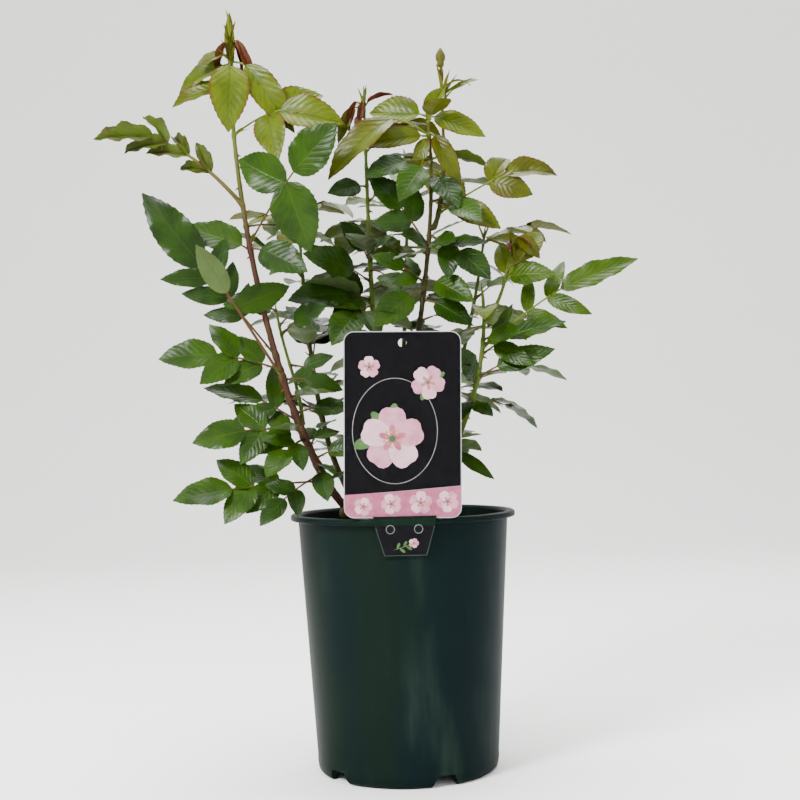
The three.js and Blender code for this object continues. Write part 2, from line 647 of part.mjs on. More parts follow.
// The neck and tab: one strip that leaves the foot of the card, passes over the lip and
// hangs close to the wall, narrower towards its end.
function tabSolid() {
  const over = POT.height + 0.5;
  const outside = -POT.rimRadius - 0.6;
  const wallHere = -(innerRadius(TAB.bottom) + POT.wall) - 1;
  const line = [
    [CARD.front + CARD.thick, over + 3], [CARD.front + CARD.thick, over], [outside, over],
    [outside, POT.height - POT.lipHeight - 1], [wallHere, TAB.bottom],
  ];
  const shape = new THREE.Shape();
  shape.moveTo(...line[0]);
  line.slice(1).forEach(([y, z]) => shape.lineTo(y, z));
  shape.lineTo(wallHere - TAB.thick, TAB.bottom);
  shape.lineTo(outside - TAB.thick, POT.height - POT.lipHeight - 1);
  shape.lineTo(outside - TAB.thick, over + TAB.thick);
  shape.lineTo(CARD.front, over + TAB.thick);
  shape.lineTo(CARD.front, over + 3);
  shape.closePath();
  const wide = TAB.topWidth + 20;
  const strip = new THREE.ExtrudeGeometry(shape, { depth: wide, bevelEnabled: false });
  strip.rotateX(Math.PI / 2).rotateZ(Math.PI / 2).translate(-wide / 2, 0, 0);
  const frame = new THREE.Shape();
  frame.moveTo(-TAB.bottomWidth / 2, TAB.bottom - 1);
  frame.lineTo(TAB.bottomWidth / 2, TAB.bottom - 1);
  frame.lineTo(TAB.topWidth / 2, over + 5);
  frame.lineTo(-TAB.topWidth / 2, over + 5);
  const keep = new THREE.ExtrudeGeometry(frame, { depth: 40, bevelEnabled: false });
  return solidOf(strip).intersect(solidOf(upright(keep, CARD.front - 20, 40)));
}

function rod(radius, from, to, x, z) {
  return new THREE.CylinderGeometry(radius, radius, to - from, 16).translate(x, (from + to) / 2, z);
}

const studSeat = () => -(innerRadius(STUD.z) + POT.wall) - CLEAR;

function labelGeometry() {
  let label = cardSolid().add(tabSolid());
  for (const x of STUD.x) {
    label = label.subtract(solidOf(rod(STUD.hole, -POT.rimRadius - 5, CARD.front + 5, x, STUD.z)));
  }
  return geometryFrom(label);
}

function studGeometry(x) {
  const outside = -POT.rimRadius - 0.6 - TAB.thick;
  return rod(STUD.radius, outside - STUD.proud, studSeat(), x, STUD.z);
}

// The finishes

const PLASTIC = new THREE.MeshStandardMaterial({ color: 0x1f3a30, roughness: 0.42, metalness: 0 });
const SOIL = new THREE.MeshStandardMaterial({ color: 0x2a211a, roughness: 1, metalness: 0 });
const BARK = new THREE.MeshStandardMaterial({ color: 0x5b4632, roughness: 0.85, metalness: 0 });
const CARD_INK = new THREE.MeshStandardMaterial({ color: 0x17151b, roughness: 0.35, metalness: 0 });
const STUD_PLASTIC = new THREE.MeshStandardMaterial({ color: 0xa9b3ae, roughness: 0.3, metalness: 0 });

function leafMaterial(color) {
  return new THREE.MeshStandardMaterial({ color, roughness: 0.5, metalness: 0 });
}

function leafColour(name) {
  if (/top|spire|shoot/.test(name) && !/back/.test(name)) return LIME;
  return /low/.test(name) ? DARK_LEAF : LEAF_GREEN;
}

// The whole plant

const group = new THREE.Group();

function add(name, geometry, material) {
  const mesh = new THREE.Mesh(geometry, material);
  mesh.name = name;
  group.add(mesh);
}

const potShape = potGeometry();
const labelShape = labelGeometry();
add('pot', potShape, PLASTIC);
add('compost', compostGeometry(), SOIL);
add('rootstock', rootstockGeometry(), BARK);
add('label', labelShape, CARD_INK);
STUD.x.forEach((x, i) => add(`label_stud_${['left', 'right'][i]}`, studGeometry(x), STUD_PLASTIC));

const canes = growCanes();
const fixed = [boxed(potShape), boxed(labelShape)];
for (const cane of canes.filter((each) => !each.from)) {
  const bough = boughGeometry(cane);
  fixed.push(boxed(bough));
  add(`cane_${cane.name}`, bough, BARK);
}
for (const mass of growFoliage(canes, fixed)) {
  add(mass.name, fused(mass), leafMaterial(leafColour(mass.name)));
}

export default group;
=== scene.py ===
"""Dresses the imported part: a young bush rose in the dark green pot that it is sold in.

The plant grows here by the same seeded rule as in the part's source, on the same canes and
from nearly the same leaf rows, and each leaf gets its toothed outline, its veins and its
stalk. The growth rule is in millimetres, as the source is, and MM turns them into metres.
"""

import bisect
import json
import logging
from dataclasses import dataclass, field
from enum import Enum
from itertools import pairwise
from math import atan2, ceil, copysign, cos, exp, hypot, pi, radians, sin
from typing import Iterable, Sequence

import bpy
from mathutils import Matrix, Quaternion, Vector, noise
from mathutils.bvhtree import BVHTree

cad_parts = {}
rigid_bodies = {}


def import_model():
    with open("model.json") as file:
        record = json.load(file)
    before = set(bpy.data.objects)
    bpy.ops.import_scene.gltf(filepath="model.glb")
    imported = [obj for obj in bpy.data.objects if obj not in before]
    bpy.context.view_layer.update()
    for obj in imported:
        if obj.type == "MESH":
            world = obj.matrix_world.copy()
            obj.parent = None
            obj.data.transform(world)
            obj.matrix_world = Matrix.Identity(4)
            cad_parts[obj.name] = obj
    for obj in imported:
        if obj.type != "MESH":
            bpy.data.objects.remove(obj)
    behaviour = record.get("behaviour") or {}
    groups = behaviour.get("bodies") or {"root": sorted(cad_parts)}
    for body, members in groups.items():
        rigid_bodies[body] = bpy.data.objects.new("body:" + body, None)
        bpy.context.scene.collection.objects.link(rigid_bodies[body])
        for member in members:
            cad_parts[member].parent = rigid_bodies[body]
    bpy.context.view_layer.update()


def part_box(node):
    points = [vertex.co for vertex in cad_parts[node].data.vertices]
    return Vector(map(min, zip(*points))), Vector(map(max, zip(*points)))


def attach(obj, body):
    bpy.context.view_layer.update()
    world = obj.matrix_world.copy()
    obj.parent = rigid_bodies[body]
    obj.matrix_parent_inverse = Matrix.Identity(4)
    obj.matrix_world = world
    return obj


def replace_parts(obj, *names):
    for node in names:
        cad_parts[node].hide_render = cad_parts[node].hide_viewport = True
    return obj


LOG = logging.getLogger("rose")
# Metres in a millimetre.
MM = 0.001
# Millimetres that the source leaves between one solid and the next.
CLEAR = 0.3
# What screen colours are held back to, because the studio's light is strong.
COLOUR_SHARE = 0.62
# How fine the relief of bark is, for a point in millimetres.
RELIEF_SCALE = 0.45
# The radius in metres of the smallest ring of a turned body.
AXIS = 0.002

Pair = tuple[float, float]
Place = tuple[float, float, float]
Faces = list[tuple[int, ...]]
Shape = tuple[list[Vector], Faces]
Socket = bpy.types.NodeSocket
Look = bpy.types.Material
Body = bpy.types.Object


class Ink(Enum):
    """An ink of the label's picture."""

    NIGHT = "night"
    ROSE = "rose"
    BLUSH = "blush"
    HEART = "heart"
    GOLD = "gold"
    SILVER = "silver"
    PRINT_LEAF = "print_leaf"


class Tint(Enum):
    """The colour of a leaf's stalk."""

    GREEN = "green"
    RUDDY = "ruddy"


class Age(Enum):
    """How old a leaf is, which gives its colours and how it folds."""

    OLD = "old"
    FULL = "full"
    FRESH = "fresh"
    LIME = "lime"
    BRONZE = "bronze"
    RED = "red"
    WILTED = "wilted"


def linear(code: str, share: float = COLOUR_SHARE) -> tuple[float, float, float, float]:
    """Turns a hex colour as seen on a screen into the shader's linear one.

    Args:
        code: Six hex digits.
        share: What the colour is held back to, because the studio's light is strong.

    Returns:
        Red, green, blue and an alpha of 1.
    """
    parts = [int(code[i : i + 2], 16) / 255 for i in (0, 2, 4)]
    full = [p / 12.92 if p <= 0.04045 else ((p + 0.055) / 1.055) ** 2.4 for p in parts]
    return (*[share * p for p in full], 1.0)


class Recipe:
    """A node material in the making, with its Principled shader at the end."""

    FIRST_COLOUR = 6
    SECOND_COLOUR = 7
    MIXED_COLOUR = 2

    def __init__(self, name: str, colour: str, roughness: float, shine: float = 0.5) -> None:
        """Starts a material.

        Args:
            name: Its name.
            colour: Its plain colour, in hex.
            roughness: How rough it is all over.
            shine: How strongly it mirrors, 0.5 for plain plastic.
        """
        self.material = bpy.data.materials.new(name)
        self.material.use_nodes = True
        self.nodes = self.material.node_tree.nodes
        self.shader = self.nodes["Principled BSDF"]
        self.shader.inputs["Base Color"].default_value = linear(colour)
        self.shader.inputs["Roughness"].default_value = roughness
        self.shader.inputs["Specular IOR Level"].default_value = shine

    def set(self, socket: str, value: float) -> None:
        """Sets a number on the shader's own socket."""
        self.shader.inputs[socket].default_value = value

    def link(self, source: Socket, target: Socket) -> None:
        """Joins an output to an input."""
        self.material.node_tree.links.new(source, target)

    def feed(self, socket: str, source: Socket) -> None:
        """Joins an output to one of the shader's sockets."""
        self.link(source, self.shader.inputs[socket])

    def place(self, kind: str) -> Socket:
        """Gives one of the coordinates that a pattern follows, Object or UV."""
        return self.nodes.new("ShaderNodeTexCoord").outputs[kind]

    def split(self, source: Socket) -> list[Socket]:
        """Takes a vector apart into x, y and z."""
        node = self.nodes.new("ShaderNodeSeparateXYZ")
        self.link(source, node.inputs[0])
        return list(node.outputs)

    def sum(self, operation: str, *values: "Socket | float") -> Socket:
        """Works out one step of arithmetic on sockets and numbers.

        Args:
            operation: The name of the Math node's operation.
            values: Its inputs in order, each a socket or a number.

        Returns:
            The result's socket.
        """
        node = self.nodes.new("ShaderNodeMath")
        node.operation = operation
        for i, value in enumerate(values):
            if isinstance(value, (int, float)):
                node.inputs[i].default_value = value
            else:
                self.link(value, node.inputs[i])
        return node.outputs[0]

    def ramp(
        self, source: Socket, low: float, high: float, start: float = 0, end: float = 1
    ) -> Socket:
        """Maps a value softly from low and high to start and end, level outside them.

        Args:
            source: The value.
            low: What becomes the start.
            high: What becomes the end.
            start: The first new value.
            end: The last new value.

        Returns:
            The mapped value.
        """
        node = self.nodes.new("ShaderNodeMapRange")
        node.interpolation_type = "SMOOTHSTEP"
        self.link(source, node.inputs["Value"])
        spans = {"From Min": low, "From Max": high, "To Min": start, "To Max": end}
        for name, value in spans.items():
            node.inputs[name].default_value = value
        return node.outputs["Result"]

    def cloud(
        self, scale: float, detail: float = 3, stretch: Place = (1, 1, 1)
    ) -> Socket:
        """Makes a cloudy pattern in the piece's own space.

        Args:
            scale: How many clouds lie in a metre, roughly.
            detail: How many finer layers it has.
            stretch: How much denser it is along each axis.

        Returns:
            The pattern's value, about 0.3 to 0.7.
        """
        mapping = self.nodes.new("ShaderNodeMapping")
        mapping.inputs["Scale"].default_value = stretch
        self.link(self.place("Object"), mapping.inputs["Vector"])
        node = self.nodes.new("ShaderNodeTexNoise")
        node.inputs["Scale"].default_value = scale
        node.inputs["Detail"].default_value = detail
        self.link(mapping.outputs[0], node.inputs["Vector"])
        return node.outputs["Fac"]

    def mix(self, share: Socket, first: "Socket | str", second: "Socket | str") -> Socket:
        """Blends two colours.

        Args:
            share: How much of the second shows.
            first: A socket or a hex code.
            second: A socket or a hex code.

        Returns:
            The blended colour.
        """
        node = self.nodes.new("ShaderNodeMix")
        node.data_type = "RGBA"
        self.link(share, node.inputs["Factor"])
        for colour, number in ((first, self.FIRST_COLOUR), (second, self.SECOND_COLOUR)):
            if isinstance(colour, str):
                node.inputs[number].default_value = linear(colour)
            else:
                self.link(colour, node.inputs[number])
        return node.outputs[self.MIXED_COLOUR]

    def bump(self, height: Socket, depth: float, strength: float = 1) -> None:
        """Gives the surface relief.

        Args:
            height: The pattern of the relief.
            depth: The depth in metres that a step of 1 in it stands for.
            strength: How much of it shows.
        """
        node = self.nodes.new("ShaderNodeBump")
        node.inputs["Distance"].default_value = depth
        node.inputs["Strength"].default_value = strength
        self.link(height, node.inputs["Height"])
        self.feed("Normal", node.outputs["Normal"])


@dataclass(frozen=True)
class LeafFinish:
    """The colours of the leaves of one age, and how their blades fold, bend and ripple.

    The fold of the two halves is in degrees, and the bend from base to tip in radians.
    """

    VEIN_PAIRS = 8.5
    VEIN_SLANT = 0.3
    SIDE_VEIN = 0.55
    VEIN_DEPTH = 0.0004
    RIB_HEIGHT = 0.0005

    slot: str
    top: str
    deep: str
    vein: str
    under: str
    rim: str
    rim_share: float = 0.0
    vein_share: float = 0.28
    roughness: float = 0.3
    shine: float = 0.11
    quilt: float = 0.6
    fold: float = 11.0
    bend: float = 0.22
    ripple: float = 0.02

    def face(self, name: str, colour: str, deep: str, vein_depth: float) -> Look:
        """Makes the material of one side of the blades.

        Args:
            name: The material's name.
            colour: The blade's usual colour.
            deep: The colour of its darker patches.
            vein_depth: How far the veins sink in, or stand proud if it is negative, in metres.

        Returns:
            The material, whose veins follow the blade's own UV map.
        """
        shine = self.shine if vein_depth > 0 else self.shine / 4
        recipe = Recipe(name, colour, self.roughness, shine)
        along, across, _ = recipe.split(recipe.place("UV"))
        aside = recipe.sum("ABSOLUTE", recipe.sum("MULTIPLY_ADD", across, 2.0, -1.0))
        midrib = recipe.ramp(aside, 0.02, 0.075, 1, 0)
        slant = recipe.sum("MULTIPLY_ADD", aside, -self.VEIN_SLANT, along)
        beat = recipe.sum("FRACT", recipe.sum("MULTIPLY", slant, self.VEIN_PAIRS))
        gap = recipe.sum("ABSOLUTE", recipe.sum("SUBTRACT", beat, 0.5))
        side_vein = recipe.sum("MULTIPLY", recipe.ramp(gap, 0.02, 0.1, 1, 0), self.SIDE_VEIN)
        veins = recipe.sum("MAXIMUM", midrib, side_vein)
        ground = recipe.mix(recipe.ramp(recipe.cloud(45), 0.4, 0.65), colour, deep)
        rim = recipe.sum("MULTIPLY", recipe.ramp(aside, 0.8, 1.0), self.rim_share)
        edged = recipe.mix(rim, ground, self.rim)
        shown = recipe.sum("MULTIPLY", veins, self.vein_share)
        recipe.feed("Base Color", recipe.mix(shown, edged, self.vein))
        swell = recipe.ramp(gap, 0.05, 0.5)
        quilt = recipe.sum("MULTIPLY_ADD", swell, self.quilt, recipe.cloud(700, 2))
        relief = recipe.sum("MULTIPLY_ADD", veins, -vein_depth / self.VEIN_DEPTH, quilt)
        recipe.bump(relief, 0.0003, 0.4)
        return recipe.material

    def materials(self, name: str) -> list[Look]:
        """Makes the upper and the lower side's materials."""
        upper = self.face(f"{name}_upper", self.top, self.deep, self.VEIN_DEPTH)
        lower = self.face(f"{name}_lower", self.under, self.under, -self.RIB_HEIGHT)
        return [upper, lower]


LEAF_FINISHES = {
    Age.OLD: LeafFinish("old_leaf", "233e06", "182e05", "385614", "56683c", "182e05"),
    Age.FULL: LeafFinish("leaf", "2e4b05", "213a05", "466416", "5c7040", "213a05"),
    Age.FRESH: LeafFinish("leaf", "3b5403", "2c4403", "587418", "546626", "4c5808", 0.35),
    Age.LIME: LeafFinish(
        "young_leaf", "5b6a02", "485802", "3e5004", "666c1c", "5c2c08", 0.8, 0.6,
        shine=0.13, quilt=0.9, fold=16.0, bend=0.45, ripple=0.012,
    ),
    Age.BRONZE: LeafFinish(
        "young_leaf", "505c02", "484a04", "383404", "606222", "56280a", 0.85, 0.45,
        shine=0.12, quilt=0.8, fold=20.0, bend=0.55, ripple=0.015,
    ),
    Age.RED: LeafFinish(
        "young_leaf", "582a10", "441e0a", "6c4018", "5c3a1c", "401a0a", 0.5, 0.3,
        roughness=0.4, shine=0.12, fold=48.0, bend=1.0,
    ),
    Age.WILTED: LeafFinish(
        "old_leaf", "465a12", "3e3c10", "646836", "58542e", "402c12", 0.5, 0.3,
        roughness=0.5, shine=0.08, fold=46.0, bend=0.7, ripple=0.05,
    ),
}


@dataclass(frozen=True)
class BarkFinish:
    """The bark of one cane: old and brown low down, green where it is still young.

    It changes from one colour to the other at a height in metres, over twice the fade.
    """

    PATCHY = 0.08

    low: str
    high: str
    change: float
    fade: float = 0.06

    def material(self, name: str) -> Look:
        """Makes the bark's material, by its name."""
        recipe = Recipe(name, self.low, 0.55, 0.12)
        height = recipe.split(recipe.place("Object"))[2]
        patches = recipe.cloud(160, 4, (1, 1, 0.3))
        lifted = recipe.sum("MULTIPLY_ADD", patches, self.PATCHY, height)
        middle = self.change + self.PATCHY / 2
        age = recipe.ramp(lifted, middle - self.fade, middle + self.fade)
        ground = recipe.mix(age, self.low, self.high)
        specks = recipe.sum("MULTIPLY", recipe.ramp(patches, 0.52, 0.68), 0.45)
        recipe.feed("Base Color", recipe.mix(specks, ground, "57502c"))
        recipe.bump(recipe.cloud(900, 3, (1, 1, 0.25)), 0.0005, 0.5)
        return recipe.material


@dataclass(frozen=True)
class PlasticFinish:
    """Moulded plastic, glossy or see-through as its numbers say.

    One with a worn colour has scuffs in it, and a painted reflection where its own colour drifts
    to another in soft upright clouds.
    """

    colour: str
    roughness: float
    worn: str = ""
    # The colour of the painted reflection, a sheen that the plastic's colour drifts to.
    painted_reflection: str = ""
    clear: float = 0.0
    shine: float = 0.5
    density: float = 1.46

    def material(self, name: str) -> Look:
        """Makes the plastic's material, by its name."""
        recipe = Recipe(name, self.colour, self.roughness, self.shine)
        recipe.set("Transmission Weight", self.clear)
        recipe.set("IOR", self.density)
        if self.worn:
            scuffs = recipe.cloud(38, 6, (1, 1, 0.22))
            streaks = recipe.cloud(260, 3, (1, 1, 0.06))
            worn = recipe.sum("MULTIPLY", recipe.ramp(scuffs, 0.5, 0.75), streaks)
            # Painted reflection: soft upright clouds of sheen over the plastic's own colour.
            painted_reflection = recipe.ramp(recipe.cloud(11, 2, (1, 1, 0.3)), 0.4, 0.62)
            ground = recipe.mix(painted_reflection, self.colour, self.painted_reflection)
            recipe.feed("Base Color", recipe.mix(worn, ground, self.worn))
            rough = recipe.sum("MULTIPLY_ADD", scuffs, 0.24, self.roughness - 0.12)
            recipe.feed("Roughness", rough)
            recipe.bump(recipe.sum("MULTIPLY_ADD", scuffs, 0.7, streaks), 0.0004, 0.16)
        return recipe.material


@dataclass(frozen=True)
class PrintFinish:
    """One flat ink of the label's picture, with the shade that it drifts to here and there."""

    colour: str
    shade: str

    def material(self, name: str) -> Look:
        """Makes the ink's material, by its name."""
        recipe = Recipe(name, self.colour, 0.45, 0.06)
        tone = recipe.ramp(recipe.cloud(110, 2), 0.35, 0.7)
        recipe.feed("Base Color", recipe.mix(tone, self.colour, self.shade))
        return recipe.material


INK_FINISHES = {
    Ink.NIGHT: PrintFinish("07060a", "0b0a0e"),
    Ink.ROSE: PrintFinish("dfa3b6", "cf869c"),
    Ink.BLUSH: PrintFinish("efc9d2", "e6b3c0"),
    Ink.HEART: PrintFinish("c0708c", "b05c7a"),
    Ink.GOLD: PrintFinish("d9b24a", "b88f30"),
    Ink.SILVER: PrintFinish("a9a8a6", "8f8e8c"),
    Ink.PRINT_LEAF: PrintFinish("5d7f4a", "476a3a"),
}


def compost_material() -> Look:
    """Makes the dark, crumbly finish of the compost, and gives its material."""
    recipe = Recipe("compost_crumbs", "1a130d", 0.95, 0.1)
    crumbs = recipe.cloud(420, 6)
    recipe.feed("Base Color", recipe.mix(recipe.ramp(crumbs, 0.4, 0.65), "0e0a07", "2f2419"))
    recipe.bump(crumbs, 0.004)
    return recipe.material


class Dice:
    """The seeded generator of the part's source."""

    MODULUS = 2147483647
    MULTIPLIER = 48271
    SEED_STEP = 7919
    SEED_START = 17
    SKIPPED = 4

    def __init__(self, seed: int) -> None:
        """Starts the row of numbers that belongs to a seed."""
        self.state = seed * self.SEED_STEP + self.SEED_START
        for _ in range(self.SKIPPED):
            self.next()

    def next(self) -> float:
        """Gives the next number from 0 to 1."""
        self.state = self.state * self.MULTIPLIER % self.MODULUS
        return self.state / self.MODULUS

    def between(self, low: float, high: float) -> float:
        """Gives the next number from low to high."""
        return low + (high - low) * self.next()


def heading(turn: float, rise: float) -> Vector:
    """Gives the direction at a turn from +X and a rise, both in degrees."""
    turned, raised = radians(turn), radians(rise)
    flat = cos(raised)
    return Vector((cos(turned) * flat, sin(turned) * flat, sin(raised)))


class Arc:
    """A curve through Bezier points, read by the share of its length."""

    DIVISIONS = 400
    HALVINGS = 30
    NUDGE = 1e-4

    def __init__(self, *points: Vector) -> None:
        """Measures the curve with three or four Bezier points."""
        self.points = points
        steps = [self.at(i / self.DIVISIONS) for i in range(self.DIVISIONS + 1)]
        self.lengths = [0.0]
        for before, after in pairwise(steps):
            self.lengths.append(self.lengths[-1] + (after - before).length)
        self.length = self.lengths[-1]

    def at(self, t: float) -> Vector:
        """Gives the point at the curve's own parameter t."""
        level = list(self.points)
        while len(level) > 1:
            level = [a.lerp(b, t) for a, b in pairwise(level)]
        return level[0]

    def slope(self, t: float) -> Vector:
        """Gives the direction at the curve's own parameter."""
        low, high = max(t - self.NUDGE, 0), min(t + self.NUDGE, 1)
        return (self.at(high) - self.at(low)).normalized()

    def parameter(self, share: float) -> float:
        """Finds the parameter at a share of the length.

        Args:
            share: The share of the way along, 0 to 1.

        Returns:
            The curve's own parameter there.
        """
        target = share * self.length
        low = min(max(bisect.bisect_right(self.lengths, target) - 1, 0), self.DIVISIONS - 1)
        step = self.lengths[low + 1] - self.lengths[low]
        return (low + (target - self.lengths[low]) / step) / self.DIVISIONS

    def point(self, share: float) -> Vector:
        """Gives the point at a share of the length."""
        return self.at(self.parameter(share))

    def tangent(self, share: float) -> Vector:
        """Gives the direction at a share of the length."""
        return self.slope(self.parameter(share))

    def share_at(self, height: float) -> float:
        """Finds where the curve reaches a height.

        Args:
            height: The height in millimetres.

        Returns:
            The share of the length there.
        """
        low, high = 0.0, 1.0
        for _ in range(self.HALVINGS):
            middle = (low + high) / 2
            if self.point(middle).z < height:
                low = middle
            else:
                high = middle
        return (low + high) / 2


@dataclass(frozen=True)
class Leaf:
    """One compound leaf: where its root and its tip lie, and what its leaflets are like.

    It grows from the height of its root, turned from +X, and its tip reaches out and up. Its
    size is the end leaflet's length, side gives the others' as shares of it, spread their
    turns from the stalk, and first how far off they begin. The stalk's middle is lifted by
    its arch, or else by a share of its reach. The blades lean by face from level, the way
    that faced says, and slim is their width as a share of their length.
    """

    root: float
    turn: float
    out: float
    up: float
    pairs: int
    size: float
    age: Age = Age.FULL
    arch: float | None = None
    slim: float = 0.62
    side: Pair = (0.86, 0.86)
    spread: Pair = (50, -52)
    first: float = 13
    face: float = 60
    faced: float = 270
    stout: float = 0.25


@dataclass(frozen=True)
class Bract:
    """A narrow young blade at a cane's tip, by its root, its headings and its size."""

    root: float
    turn: float
    rise: float
    length: float
    age: Age = Age.LIME
    slim: float = 0.2
    bend: float = 0.14


@dataclass(frozen=True)
class Fill:
    """The seeded rule for the leaves on the sides of a cane that no row names.

    Their roots go up from start to stop by a step, and only the turns between two grow one.
    """

    TURN_STEP = 144
    TURN_PLAY = 22
    ROOT_PLAY = 0.25
    RISES = (-22, 34)
    SIZES = (34, 46)
    LEANS = (15, 55)
    LOW_ROOT = 250
    LOW_RUN = 90
    LOW_SHARE = 0.62
    AGE_ROOT = 240
    AGE_PLAY = 0.06
    LONG_REACH = 80
    ARCH_SHARE = 0.16

    start: float
    stop: float
    step: float
    turn: float
    between: Pair
    reach: Pair


@dataclass(frozen=True)
class Cane:
    """One cane: its line from foot to tip, its girth, its masses and its leaves.

    It leaves its foot and comes to its tip in headings of a turn and a rise in degrees, and
    its pull and its hold say for how long. Its parts are its masses, each with the height
    where it starts. A side shoot has a parent and the height of its root on it. Besides its
    leaf rows it has the leaves of two rules, the fill and the smaller twigs.
    """

    name: str
    leave: Pair
    pull: float
    tip: Place
    end: Pair
    hold: float
    radius: Pair
    parts: tuple[tuple[str, float], ...]
    bark: BarkFinish
    leaves: tuple[Leaf, ...] = ()
    bracts: tuple[Bract, ...] = ()
    fill: Fill | None = None
    twigs: Fill | None = None
    parent: str = ""
    root: float = 0
    bud: float = 0
    thorns: int = 0


STALK_FINISHES = {
    Tint.GREEN: BarkFinish("667a22", "748a24", 0.5),
    Tint.RUDDY: BarkFinish("5a4022", "667024", 0.5),
}
THORN = BarkFinish("6e3424", "74402a", 0.4)
CUT_WOOD = BarkFinish("75653a", "75653a", 0.4)
KNUCKLE = BarkFinish("33281a", "40361e", 0.21)
RUDDY = BarkFinish("43281a", "5f7022", 0.49)
GREEN = BarkFinish("4a4a20", "55701f", 0.27)
PURPLE = BarkFinish("2e2a14", "565418", 0.47, 0.14)
BACK = BarkFinish("403a1c", "4a5c20", 0.33)

